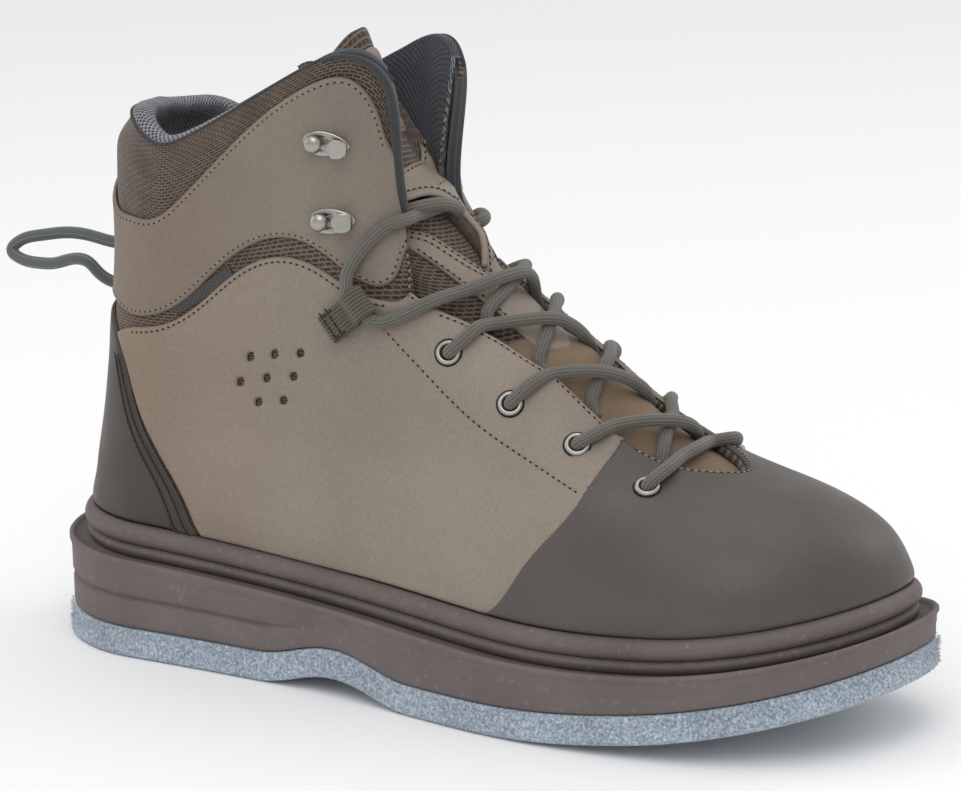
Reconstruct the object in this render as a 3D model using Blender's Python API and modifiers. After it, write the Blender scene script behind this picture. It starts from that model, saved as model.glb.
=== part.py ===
# Right wading boot with a felt sole: one hollow upper on its sole, overlays, tongue, laces and fittings.
# Metres, +Z up, +X to the toe, -Y to the outer side. The origin is the heel's rest point on the floor.

import bpy
import bmesh
import math
import numpy as np
from mathutils import Matrix, Vector

# Driving sizes of the sole
SOLE_LENGTH = 0.320
HEEL_OVERHANG = 0.048
BALL_WIDTH = 0.119
FELT_THICKNESS = 0.010
FELT_FLARE = 0.0012
MIDSOLE_HEIGHT = 0.025
MIDSOLE_LIP = 0.0010
GROOVE_DEPTH = 0.0010
TOE_SPRING = 0.021
ARCH_RISE = 0.006
HEEL_ROUND = 0.045
TOE_ROUND = 0.072

# Driving sizes of the upper and what is sewn to it
LEDGE = 0.006
WELT_HEIGHT = 0.0115
WELT_THICKNESS = 0.0035
SHAFT_RISE = 0.1335
FLAP_LEAN = 0.0085
FLAP_DROP = 0.0040
COLLAR_DROP = 0.0060
TONGUE_CROWN = 0.0120
UPPER_WALL = 0.0025
PANEL_THICKNESS = 0.0011
LINING_THICKNESS = 0.0060
LINING_FRONT = 0.0022
TONGUE_THICKNESS = 0.0035
INSOLE_THICKNESS = 0.004
GAP = 0.0003
PANEL_GAP = 0.0005
TONGUE_CLEARANCE = 0.0012
INSOLE_CLEARANCE = 0.0018

# Fittings and cords
EYELET_RADIUS = 0.0042
EYELET_HOLE = 0.0024
EYELET_HEIGHT = 0.0012
EYELET_SIDES = 10
HOOK_LENGTH = 0.0150
HOOK_WIDTH = 0.0074
HOOK_PLATE = 0.0010
HOOK_BALL = 0.0030
HOOK_WIRE = 0.0030
WEBBING_WIDTH = 0.0105
WEBBING_THICKNESS = 0.0016
WEBBING_LENGTH = 0.0160
TAB_LENGTH = 0.0120
TAB_WIDTH = 0.0032
TAB_THICKNESS = 0.0008
LACE_DIAMETER = 0.0044
PULL_DIAMETER = 0.0042
PULL_ENDS = [(10.85, 0.0030), (9.75, -0.0008)]
SEAT = 0.0006

# Plan and side of the sole, from its back end to its tip.
# share of the length, outer half width and inner half width as shares of the ball, midsole height as a share
SOLE_TABLE = [
    (0.00, 0.380, 0.372, 1.00),
    (0.15, 0.382, 0.374, 0.94),
    (0.42, 0.428, 0.345, 0.76),
    (0.66, 0.528, 0.468, 0.58),
    (0.84, 0.498, 0.440, 0.44),
    (1.00, 0.498, 0.440, 0.36),
]

# The upper's level loops. Level 0 is the feather line on the sole, 1 the top of the welt, 15 the collar.
# back x and front x as shares of the sole's length, back and front rise as shares of the shaft's rise,
# share of the sole's own dip, half widths at heel, waist and ball as shares of the ball,
# heel round and toe round as shares of the sole's length
LEVELS = [
    (0, -0.118, 0.000, 0.818, 0.000, 1.00, 0.300, 0.310, 0.425, 0.115, 0.200),
    (1, -0.126, 0.000, 0.828, 0.000, 1.00, 0.305, 0.314, 0.431, 0.115, 0.200),
    (2, -0.117, 0.050, 0.818, 0.033, 0.90, 0.310, 0.318, 0.432, 0.115, 0.200),
    (3, -0.112, 0.109, 0.804, 0.101, 0.75, 0.310, 0.318, 0.416, 0.115, 0.204),
    (4, -0.108, 0.169, 0.777, 0.161, 0.55, 0.305, 0.314, 0.388, 0.114, 0.208),
    (5, -0.104, 0.229, 0.732, 0.207, 0.35, 0.298, 0.308, 0.356, 0.112, 0.208),
    (6, -0.101, 0.289, 0.663, 0.248, 0.20, 0.290, 0.300, 0.326, 0.110, 0.206),
    (7, -0.099, 0.348, 0.588, 0.311, 0.10, 0.282, 0.292, 0.304, 0.110, 0.190),
    (8, -0.097, 0.408, 0.516, 0.400, 0.00, 0.276, 0.286, 0.298, 0.110, 0.165),
    (9, -0.095, 0.475, 0.450, 0.506, 0.00, 0.273, 0.282, 0.298, 0.110, 0.146),
    (10, -0.090, 0.558, 0.388, 0.618, 0.00, 0.273, 0.282, 0.298, 0.110, 0.134),
    (11, -0.086, 0.648, 0.336, 0.731, 0.00, 0.277, 0.286, 0.300, 0.110, 0.125),
    (12, -0.084, 0.738, 0.308, 0.835, 0.00, 0.285, 0.294, 0.305, 0.110, 0.118),
    (13, -0.083, 0.835, 0.303, 0.940, 0.00, 0.294, 0.303, 0.312, 0.110, 0.113),
    (14, -0.081, 0.925, 0.312, 1.060, 0.00, 0.300, 0.310, 0.318, 0.110, 0.113),
    (15, -0.080, 0.989, 0.325, 1.158, 0.00, 0.303, 0.314, 0.322, 0.110, 0.113),
]
COLLAR_LEVEL = 15
WELT_LEVEL = 1

# The collar's waved top line: share of its length from the back, rise as a share of the shaft's rise
CREST = [
    (0.00, 0.036), (0.05, 0.038), (0.12, 0.022), (0.19, -0.022), (0.25, -0.058), (0.33, -0.054), (0.50, 0.005),
    (0.62, 0.052), (0.715, 0.086), (0.80, 0.106), (0.865, 0.092), (0.915, 0.030), (0.95, -0.050), (1.00, -0.087),
]

# Where the centre line lies: x as a share of the sole's length, y as a share of the ball
CENTRE = [(-0.15, -0.006), (0.0, -0.006), (0.27, -0.044), (0.56, -0.028), (0.70, -0.018), (0.85, 0.026)]

# The throat's edge: level, share of the half turn from the heel to the front
THROAT = [
    (6.15, 1.000), (6.32, 0.935), (6.58, 0.898), (7.00, 0.876), (7.60, 0.880), (8.50, 0.885), (9.25, 0.858),
    (9.65, 0.832), (10.0, 0.785), (10.2, 0.768), (10.65, 0.800), (11.45, 0.845), (12.05, 0.868), (12.6, 0.870),
    (13.4, 0.858), (14.2, 0.840), (15.0, 0.815),
]
THROAT_LEVEL = THROAT[0][0]

# Edges of the overlays: level, share of the half turn
TOE_EDGE = [(0.9, 0.560), (2.65, 0.596), (4.25, 0.645), (5.85, 0.731), (6.85, 0.826), (7.25, 0.895)]
COUNTER_EDGE = [(0.9, 0.293), (2.65, 0.273), (4.25, 0.243), (5.6, 0.220), (6.75, 0.207), (7.85, 0.194), (8.8, 0.165)]
COUNTER_TOP = [(9.3, 0.130), (9.6, 0.0)]
QUARTER_TOP = [
    (9.0, 0.205), (9.25, 0.290), (10.15, 0.398), (10.95, 0.506), (11.05, 0.566), (10.9, 0.610), (10.55, 0.645),
    (10.25, 0.672), (10.15, 0.712), (10.3, 0.752), (10.62, 0.795),
]
SHAFT_LOW = [
    (10.0, 0.0), (9.8, 0.150), (9.45, 0.235), (9.55, 0.292), (10.6, 0.411), (11.4, 0.520), (11.45, 0.579),
    (11.3, 0.625), (10.75, 0.655), (10.38, 0.690), (10.36, 0.722), (10.6, 0.762), (11.1, 0.820),
]
SHAFT_TOP = [
    (13.4, 0.0), (13.0, 0.180), (12.3, 0.262), (12.5, 0.316), (13.0, 0.385), (13.8, 0.487), (14.3, 0.576),
    (14.36, 0.668), (14.45, 0.743), (14.5, 0.800),
]

# The tongue: level, half width as a share of the half turn, push forward, push up, as shares of the ball
TONGUE = [
    (5.55, 0.100, 0.000, 0.000), (6.15, 0.150, 0.000, 0.000), (6.80, 0.185, 0.004, 0.004),
    (7.60, 0.190, 0.018, 0.020), (8.60, 0.195, 0.032, 0.032), (9.60, 0.220, 0.045, 0.032),
    (10.3, 0.290, 0.062, 0.022), (11.2, 0.250, 0.085, 0.008), (12.0, 0.225, 0.062, 0.000),
    (12.8, 0.205, 0.000, 0.000), (13.5, 0.195, -0.080, 0.010), (14.3, 0.200, -0.175, 0.030),
    (15.0, 0.215, -0.260, 0.080),
]

# Eyelets from the toe up, hooks, lace loop: level, share of the half turn
EYELETS = [(6.00, 0.803), (7.10, 0.790), (8.00, 0.763), (9.10, 0.747)]
HOOKS = [(11.60, 0.698), (13.10, 0.710)]
LACE_LOOP = (10.08, 0.672)
LACE_LOOP_HEADING = (10.35, 0.727)
SIDE_TAB = (10.63, 0.437)
SIDE_TAB_HEADING = (11.13, 0.500)

UPPER_ROWS = [0, 1, 2.1, 3.1, 4.1, 5.1, 6.15, 6.32, 6.58, 7.00, 7.70, 8.50, 9.25, 9.80, 10.2, 10.8, 11.5, 12.8,
              14.1, 15]
LINING_START = 9.8
LINING_MARGIN = 0.03
SIDE_COLUMNS = 10
FRONT_COLUMNS = 4
SIDE_SHARE = 0.70
TONGUE_COLUMNS = 10


def spline(table, column, at):
    # Smooth curve through one column of a table, read against its first column
    xs = np.array([row[0] for row in table], float)
    ys = np.array([row[column] for row in table], float)
    at = np.clip(np.asarray(at, float), xs[0], xs[-1])
    count = len(xs)
    step = np.diff(xs)
    matrix = np.eye(count)
    bend = np.zeros(count)
    for k in range(1, count - 1):
        matrix[k, k - 1:k + 2] = step[k - 1], 2 * (step[k - 1] + step[k]), step[k]
        bend[k] = 6 * ((ys[k + 1] - ys[k]) / step[k] - (ys[k] - ys[k - 1]) / step[k - 1])
    curve = np.linalg.solve(matrix, bend)
    k = np.clip(np.searchsorted(xs, at, side="right") - 1, 0, count - 2)
    left = xs[k + 1] - at
    right = at - xs[k]
    wide = step[k]
    cubic = (curve[k] * left ** 3 + curve[k + 1] * right ** 3) / (6 * wide)
    return cubic + (ys[k] / wide - curve[k] * wide / 6) * left + (ys[k + 1] / wide - curve[k + 1] * wide / 6) * right


def ease(value):
    value = np.clip(value, 0, 1)
    return value * value * (3 - 2 * value)


# Landmarks along the sole
SOLE_BACK = -HEEL_OVERHANG
SOLE_TIP = SOLE_LENGTH - HEEL_OVERHANG
ARCH_START = SOLE_BACK + 0.300 * SOLE_LENGTH
ARCH_END = SOLE_BACK + 0.506 * SOLE_LENGTH
SPRING_START = SOLE_BACK + 0.575 * SOLE_LENGTH
TOE_TURN = 0.004
INSET = LEDGE + WELT_THICKNESS + GAP


def spring(x):
    return TOE_SPRING * np.clip((x - SPRING_START) / (SOLE_TIP - SPRING_START), 0, None) ** 2


def arch(x):
    middle = (ARCH_START + ARCH_END) / 2
    share = np.clip((x - middle) / (ARCH_END - middle), -1, 1)
    return ARCH_RISE * (1 + np.cos(np.pi * share)) / 2


def sole_share(x):
    return (x - SOLE_BACK) / SOLE_LENGTH


def sole_top(x):
    return spring(x) + FELT_THICKNESS + MIDSOLE_HEIGHT * spline(SOLE_TABLE, 3, sole_share(x))


def sole_loop(grow, turn):
    # The sole's plan outline, grown or inset; turn 0 is the heel's back, half a turn the tip
    share = (1 - np.cos(turn)) / 2
    back = SOLE_BACK - grow
    tip = SOLE_TIP + grow
    x = back + (tip - back) * share
    outer = BALL_WIDTH * spline(SOLE_TABLE, 1, sole_share(x)) + grow
    inner = BALL_WIDTH * spline(SOLE_TABLE, 2, sole_share(x)) + grow
    heel = np.clip((x - back) / (HEEL_ROUND + grow), 0, 1)
    toe = np.clip((x - tip + TOE_ROUND + grow) / (TOE_ROUND + grow), 0, 1)
    fade = np.sqrt(1 - (1 - heel) ** 2) * np.sqrt(1 - toe ** 2)
    middle = TOE_TURN * ease((x - SPRING_START) / (tip - SPRING_START))
    y = np.where(np.sin(turn) < 0, middle - (outer + middle) * fade, middle + (inner - middle) * fade)
    return x, y


def form(level, turn):
    # The upper's outer surface: level from the feather line to the collar, turn from the heel to the front
    level, turn = np.broadcast_arrays(np.asarray(level, float), np.asarray(turn, float))
    back, back_rise, front, front_rise, dip, heel, waist, ball, heel_round, toe_round = (
        spline(LEVELS, column, level) for column in range(1, 11))
    share = (1 - np.cos(turn)) / 2
    x_back = back * SOLE_LENGTH
    x_front = front * SOLE_LENGTH
    x = x_back + (x_front - x_back) * share
    along = x / SOLE_LENGTH
    wide = heel + (waist - heel) * ease(along / 0.266) + (ball - waist) * ease((along - 0.266) / 0.297)
    at_heel = np.clip((x - x_back) / (heel_round * SOLE_LENGTH), 0, 1)
    reach = toe_round * SOLE_LENGTH
    at_toe = np.clip((x - x_front + reach) / reach, 0, 1)
    fade = np.sqrt(1 - (1 - at_heel) ** 2) * np.sqrt(1 - at_toe ** 2)
    middle = BALL_WIDTH * spline(CENTRE, 1, along) * (1 - ease((level - 3) / 6))
    y = middle + np.sign(np.round(np.sin(turn), 9)) * BALL_WIDTH * wide * fade
    x_sole, y_sole = sole_loop(-INSET, turn)
    # The inner side's collar sits lower, and its flap is drawn in over the tongue
    inner = np.where(np.sin(turn) > 0, fade, 0) * ease((level - 10) / 5)
    forward = ease((share - 0.3) / 0.5)
    y = y - FLAP_LEAN * inner * forward
    lower = inner * (COLLAR_DROP + (FLAP_DROP - COLLAR_DROP) * forward)
    hold = 1 - ease(level / 3)
    x = x + (x_sole - x) * hold
    y = y + (y_sole - y) * hold
    floor_back = sole_top(SOLE_BACK)
    floor_front = sole_top(SOLE_TIP - INSET)
    low_level = np.clip(level / WELT_LEVEL, 0, 1)
    rise = SHAFT_RISE * (back_rise + (front_rise - back_rise) * share)
    straight = floor_back + (floor_front - floor_back) * share
    crest = SHAFT_RISE * spline(CREST, 1, share) * ease((level - 9) / 6)
    z = straight + rise + WELT_HEIGHT * low_level + dip * (sole_top(x) - straight) + crest - lower + GAP
    return np.stack([x, y, z], -1)


def outward(level, turn):
    # Unit normals of the form
    small = 1e-3
    level = np.asarray(level, float)
    around = form(level, turn + small) - form(level, turn - small)
    up = form(np.minimum(level + 0.01, COLLAR_LEVEL), turn) - form(np.maximum(level - 0.01, 0), turn)
    normal = np.cross(up, around)
    return normal / np.linalg.norm(normal, axis=-1, keepdims=True)


def skin(level, turn, offset):
    # A point at a distance outside or inside the form
    return form(level, turn) + outward(level, turn) * np.asarray(offset)[..., None]


def throat_edge(level):
    # The turn at which the throat is cut; a closed loop below it
    share = np.interp(level, [row[0] for row in THROAT], [row[1] for row in THROAT], left=1.0)
    return math.pi * share


def material(name, colour, roughness, metallic=0.0):
    result = bpy.data.materials.new(name)
    result.use_nodes = True
    shader = result.node_tree.nodes["Principled BSDF"]
    shader.inputs["Base Color"].default_value = (*colour, 1.0)
    shader.inputs["Roughness"].default_value = roughness
    shader.inputs["Metallic"].default_value = metallic
    result.diffuse_color = (*colour, 1.0)
    return result


def add_object(name, mesh, finish, collection):
    result = bpy.data.objects.new(name, mesh)
    if finish is not None:
        mesh.materials.clear()
        mesh.materials.append(finish)
    collection.objects.link(result)
    return result


def loft(name, rows, finish, collection, ring=False, tube=False, ends=False):
    # Quads between rows of points; ring closes each row, tube joins the last row to the first,
    # ends caps the first and last column of a tube
    rows = np.asarray(rows, float)
    count, width = rows.shape[:2]
    shape = bmesh.new()
    grid = [[shape.verts.new(point) for point in row] for row in rows]
    for r in range(count if tube else count - 1):
        low = grid[r]
        high = grid[(r + 1) % count]
        for c in range(width if ring else width - 1):
            d = (c + 1) % width
            # The diagonals mirror each other on the two sides of the boot
            if c < width // 2:
                shape.faces.new((low[c], high[c], low[d]))
                shape.faces.new((high[c], high[d], low[d]))
            else:
                shape.faces.new((low[c], high[c], high[d]))
                shape.faces.new((low[c], high[d], low[d]))
    if ends:
        shape.faces.new([row[0] for row in grid])
        shape.faces.new([row[-1] for row in reversed(grid)])
    bmesh.ops.remove_doubles(shape, verts=shape.verts, dist=1e-6)
    bmesh.ops.dissolve_degenerate(shape, edges=shape.edges, dist=1e-7)
    if tube or ends:
        bmesh.ops.recalc_face_normals(shape, faces=shape.faces)
    mesh = bpy.data.meshes.new(name)
    shape.to_mesh(mesh)
    shape.free()
    mesh.shade_smooth()
    return add_object(name, mesh, finish, collection)


def columns(edge):
    # Turns from one edge round the heel to the other: fixed round the sides, closer together at the front
    side = np.linspace(0, SIDE_SHARE * math.pi, SIDE_COLUMNS + 1)
    front = np.linspace(SIDE_SHARE * math.pi, edge, FRONT_COLUMNS + 1)
    half = np.concatenate([side, front[1:]])
    return np.concatenate([-half[:0:-1], half])


def skin_rows(levels, offset):
    rows = []
    for level in levels:
        turns = columns(throat_edge(level))
        rows.append(skin(level, turns, np.full(len(turns), offset)))
    return rows


def solidify(target, thickness, offset):
    wall = target.modifiers.new("Wall", "SOLIDIFY")
    wall.thickness = thickness
    wall.offset = offset
    wall.use_even_offset = False
    return wall


def cut(target, cutter, operation):
    boolean = target.modifiers.new("Cut", "BOOLEAN")
    boolean.operation = operation
    boolean.object = cutter
    boolean.solver = "EXACT"


def prism(name, outline, low_y, high_y, collection):
    # A side-view outline of x and z drawn out across the boot, for cutting
    shape = bmesh.new()
    face = shape.faces.new([shape.verts.new((x, low_y, z)) for x, z in outline])
    drawn = bmesh.ops.extrude_face_region(shape, geom=[face])["geom"]
    moved = [item for item in drawn if isinstance(item, bmesh.types.BMVert)]
    bmesh.ops.translate(shape, verts=moved, vec=(0, high_y - low_y, 0))
    bmesh.ops.recalc_face_normals(shape, faces=shape.faces)
    mesh = bpy.data.meshes.new(name)
    shape.to_mesh(mesh)
    shape.free()
    result = add_object(name, mesh, None, collection)
    result.hide_render = True
    result.display_type = "WIRE"
    return result


def side_line(pairs, shift=0.0):
    # Side-view points of a line on the outer side, moved along x
    points = form([row[0] for row in pairs], [-math.pi * row[1] for row in pairs])
    return [(point[0] + shift, point[2]) for point in points]


def frame_at(place, side, offset, toward):
    # Place on the outer face of one side: its x axis heads for a second place, its z axis points out
    point = skin(place[0], side * math.pi * place[1], offset)
    target = skin(toward[0], side * math.pi * toward[1], offset)
    normal = Vector(outward(place[0], side * math.pi * place[1]))
    heading = Vector(target - point)
    across = normal.cross(heading).normalized()
    forward = across.cross(normal).normalized()
    matrix = Matrix((forward, across, normal)).transposed().to_4x4()
    matrix.translation = Vector(point)
    return matrix


def sole_turns():
    # Stations along the sole, so that its flat spots, arch and tip each have their own
    def turn_of(x):
        return math.acos(1 - 2 * sole_share(x))
    heel = np.linspace(0, turn_of(ARCH_START), 8)
    middle = [turn_of(x) for x in np.linspace(ARCH_START, ARCH_END, 7)]
    ball = [turn_of(SPRING_START)]
    toe = np.linspace(turn_of(SPRING_START), math.pi, 11)
    half = list(heel) + middle[1:] + ball + list(toe[1:])
    return np.array(half)


def sole_solid(name, sections, finish, collection):
    # A solid between sole outlines: each section has a growth and a height function
    half = sole_turns()
    ring = np.concatenate([half, -half[-2:0:-1]])
    rows = []
    for grow, height in sections:
        x, y = sole_loop(grow, ring)
        rows.append(np.stack([x, y, height(x)], -1))
    shape = bmesh.new()
    grid = [[shape.verts.new(point) for point in row] for row in rows]
    count = len(ring)
    for low, high in zip(grid[:-1], grid[1:]):
        for c in range(count):
            d = (c + 1) % count
            shape.faces.new((low[c], high[c], high[d], low[d]))
    for row in (grid[0], grid[-1]):
        for c in range(len(half) - 1):
            corners = [row[c], row[c + 1], row[(count - c - 1) % count], row[(count - c) % count]]
            distinct = list(dict.fromkeys(corners))
            shape.faces.new(distinct)
    bmesh.ops.recalc_face_normals(shape, faces=shape.faces)
    mesh = bpy.data.meshes.new(name)
    shape.to_mesh(mesh)
    shape.free()
    return add_object(name, mesh, finish, collection)


def build_sole(finishes, collection):
    def ground(x):
        return spring(x) + arch(x)

    def felt_top(x):
        return ground(x) + FELT_THICKNESS

    sole_solid("felt_outsole", [(FELT_FLARE, ground), (0.0, felt_top)], finishes["felt"], collection)

    def at(share):
        def height(x):
            bottom = felt_top(x) + GAP
            return bottom + (sole_top(x) - bottom) * share
        return height

    midsole = [
        (-0.0010, at(0.0)), (0.0, at(0.06)), (0.0, at(0.42)), (-GROOVE_DEPTH, at(0.47)), (0.0, at(0.54)),
        (0.0, at(0.84)), (MIDSOLE_LIP, at(0.90)), (MIDSOLE_LIP * 0.7, at(0.98)), (-MIDSOLE_LIP, at(1.0)),
    ]
    sole_solid("midsole", midsole, finishes["midsole"], collection)
    inside = -(INSET + UPPER_WALL + INSOLE_CLEARANCE)

    def insole_low(x):
        return sole_top(x) + GAP

    def insole_high(x):
        return sole_top(x) + GAP + INSOLE_THICKNESS

    sole_solid("insole", [(inside, insole_low), (inside, insole_high)], finishes["insole"], collection)


def build_welt(finishes, collection):
    ring = columns(math.pi)[1:]
    # level as a share of the welt, distance out as a share of its thickness
    profile = [(0.0, 0.0), (0.0, 0.95), (0.30, 1.0), (0.40, 0.78), (0.52, 1.02), (0.78, 1.05), (0.95, 0.55), (0.95, 0.0)]
    rows = []
    for level, out in profile:
        points = skin(level * WELT_LEVEL, ring, np.full(len(ring), 2 * GAP + WELT_THICKNESS * out))
        if level == 0.0:
            points[:, 2] = sole_top(points[:, 0]) + 2 * GAP
        rows.append(points)
    loft("welt", rows, finishes["rubber"], collection, ring=True, tube=True)


def build_upper(finishes, collection):
    upper = loft("upper", skin_rows(UPPER_ROWS, 0.0), finishes["mesh"], collection)
    solidify(upper, UPPER_WALL, -1)
    return upper


def build_panels(finishes, parts, cutters):
    # Overlays sewn on the upper: each is cut from a skin just outside it by a side-view outline
    wide = BALL_WIDTH
    reach = 0.03
    behind = SOLE_BACK - reach
    beyond = SOLE_TIP + reach
    under = 0.0
    above = sole_top(SOLE_BACK) + SHAFT_RISE * 1.5
    half_gap = GAP / 2

    def panel(name, levels, outline, low_y, high_y, finish):
        surface = loft(name, skin_rows(levels, PANEL_GAP), finish, parts)
        solidify(surface, PANEL_THICKNESS, 1)
        cut(surface, prism(name + "_cutter", outline, low_y, high_y, cutters), "INTERSECT")

    low_rows = [WELT_LEVEL + 0.08] + [level for level in UPPER_ROWS if level > WELT_LEVEL + 0.5]
    toe = side_line(TOE_EDGE, half_gap)
    outline = [(toe[0][0], under)] + toe + [(toe[-1][0], above), (beyond, above), (beyond, under)]
    panel("toe_cap", [level for level in low_rows if level <= 8.4], outline, -wide, wide, finishes["toe"])

    back = side_line(COUNTER_EDGE, -half_gap)
    top = side_line(COUNTER_TOP)
    outline = [(back[0][0], under)] + back + top + [(behind, top[-1][1]), (behind, under)]
    panel("heel_counter", [level for level in low_rows if level <= 10.0], outline, -wide, wide, finishes["heel"])

    rear = side_line(COUNTER_EDGE, half_gap)
    front = side_line(TOE_EDGE, -half_gap)
    top = side_line(QUARTER_TOP)
    outline = [(rear[0][0], under)] + rear + top
    outline += [(top[-1][0] + reach, top[-1][1]), (front[-1][0], top[-1][1])]
    outline += front[::-1] + [(front[0][0], under)]
    quarter_rows = [level for level in low_rows if level <= 11.5]
    panel("quarter_lateral", quarter_rows, outline, -wide, 0.0, finishes["leather"])
    panel("quarter_medial", quarter_rows, outline, 0.0, wide, finishes["leather"])

    low = side_line(SHAFT_LOW)
    high = side_line(SHAFT_TOP)
    outline = [(behind, low[0][1])] + low + [(low[-1][0] + reach, low[-1][1]), (high[-1][0] + reach, high[-1][1])]
    outline += high[::-1] + [(behind, high[0][1])]
    panel("shaft_panel", [level for level in UPPER_ROWS if level >= 9.1], outline, -wide, wide, finishes["shaft"])


def lining_depth(share):
    # The collar's padding, thick at the back and sides and thin down the flaps
    return LINING_FRONT + (LINING_THICKNESS - LINING_FRONT) * (1 - ease((share - 0.35) / 0.35))


def build_lining(finishes, collection):
    start = UPPER_WALL + 1.5 * GAP
    levels = [level for level in UPPER_ROWS if level >= LINING_START]
    rows = []

    def row(level, depth, rise=0.0):
        # One row at a share of the padding's depth, its top swelling up by a share of it
        turns = columns(throat_edge(level) - LINING_MARGIN)
        thick = lining_depth(np.abs(turns) / math.pi)
        points = skin(level, turns, -start - thick * depth)
        points[:, 2] += thick * rise
        rows.append(points)

    for level in levels:
        row(level, 0.0)
    row(COLLAR_LEVEL, 0.35, 0.40)
    row(COLLAR_LEVEL, 0.80, 0.15)
    for level in levels[-2:0:-1]:
        row(level, 1.0)
    row(levels[0], 0.4)
    loft("collar_lining", rows, finishes["lining"], collection, tube=True, ends=True)


def tongue_point(level, share, lift=0.0):
    # A point on the tongue's outer face: share from -1 at its outer edge to 1 at its inner edge
    half = math.pi * spline(TONGUE, 1, level)
    turn = math.pi - half * np.abs(share)
    side = np.where(np.asarray(share) < 0, -1.0, 1.0)
    depth = UPPER_WALL + TONGUE_CLEARANCE + (LINING_FRONT + TONGUE_CLEARANCE) * ease((level - 8.6) / 1.0)
    point = skin(level, side * turn, -depth + lift)
    open_share = (math.pi - throat_edge(level)) / half
    swell = np.clip(1 - (np.abs(share) / np.clip(open_share * 1.05, 0.3, 1.0)) ** 2, 0, 1) ** 1.3
    lean = ease((level - 12.4) / 1.0)
    swell = swell * (1 - lean) + lean
    push = np.stack([spline(TONGUE, 2, level) * swell, 0 * swell, spline(TONGUE, 3, level) * swell], -1)
    crown = TONGUE_CROWN * ease((level - 13.5) / 1.5) * (1 - 2.3 * np.asarray(share) ** 2)
    return point + BALL_WIDTH * push + np.stack([0 * crown, 0 * crown, crown], -1)


def build_tongue(finishes, collection):
    shares = np.linspace(1, -1, TONGUE_COLUMNS + 1)
    rows = [tongue_point(np.full(len(shares), row[0]), shares) for row in TONGUE]
    tongue = loft("tongue", rows, finishes["tongue"], collection)
    solidify(tongue, TONGUE_THICKNESS, -1)


def build_eyelets(finishes, collection):
    # Turned rings, one mesh for all
    middle = (EYELET_HOLE + EYELET_RADIUS) / 2
    profile = [(EYELET_HOLE, 0.0), (EYELET_RADIUS, 0.0), (middle, EYELET_HEIGHT)]
    shape = bmesh.new()
    corners = [shape.verts.new((radius, 0, height)) for radius, height in profile]
    for a, b in zip(corners, corners[1:] + corners[:1]):
        shape.edges.new((a, b))
    bmesh.ops.spin(shape, geom=shape.verts[:] + shape.edges[:], cent=(0, 0, 0), axis=(0, 0, 1),
                   angle=math.tau, steps=EYELET_SIDES, use_merge=True)
    bmesh.ops.remove_doubles(shape, verts=shape.verts, dist=1e-6)
    bmesh.ops.recalc_face_normals(shape, faces=shape.faces)
    mesh = bpy.data.meshes.new("eyelet")
    shape.to_mesh(mesh)
    shape.free()
    mesh.materials.append(finishes["steel"])
    seat = PANEL_GAP + PANEL_THICKNESS + SEAT
    for side, side_name in ((-1, "lateral"), (1, "medial")):
        for number, (level, share) in enumerate(EYELETS, 1):
            ring = bpy.data.objects.new("eyelet_%s_%d" % (side_name, number), mesh)
            ring.matrix_world = frame_at((level, share), side, seat, (level + 0.5, share))
            collection.objects.link(ring)


def curve_mesh(name, points, radius, resolution, finish, collection):
    # A round bar along points, made a closed mesh
    data = bpy.data.curves.new(name, "CURVE")
    data.dimensions = "3D"
    data.bevel_depth = radius
    data.bevel_resolution = resolution
    data.use_fill_caps = True
    line = data.splines.new("POLY")
    line.points.add(len(points) - 1)
    for target, point in zip(line.points, points):
        target.co = (*point, 1.0)
    holder = bpy.data.objects.new(name + "_curve", data)
    collection.objects.link(holder)
    bpy.context.view_layer.update()
    evaluated = holder.evaluated_get(bpy.context.evaluated_depsgraph_get())
    mesh = bpy.data.meshes.new_from_object(evaluated)
    bpy.data.objects.remove(holder)
    shape = bmesh.new()
    shape.from_mesh(mesh)
    bmesh.ops.remove_doubles(shape, verts=shape.verts, dist=1e-6)
    shape.to_mesh(mesh)
    shape.free()
    mesh.name = name
    return add_object(name, mesh, finish, collection)


def union(target, others):
    for other in others:
        cut(target, other, "UNION")
        other.hide_render = True
        other.display_type = "WIRE"


def smooth_path(points, count):
    # Points on a smooth curve through the given ones
    points = np.asarray(points, float)
    lengths = np.concatenate([[0], np.cumsum(np.linalg.norm(np.diff(points, axis=0), axis=1))])
    at = np.linspace(0, lengths[-1], count)
    return np.stack([spline(list(zip(lengths, points[:, k])), 1, at) for k in range(3)], -1)


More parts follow.
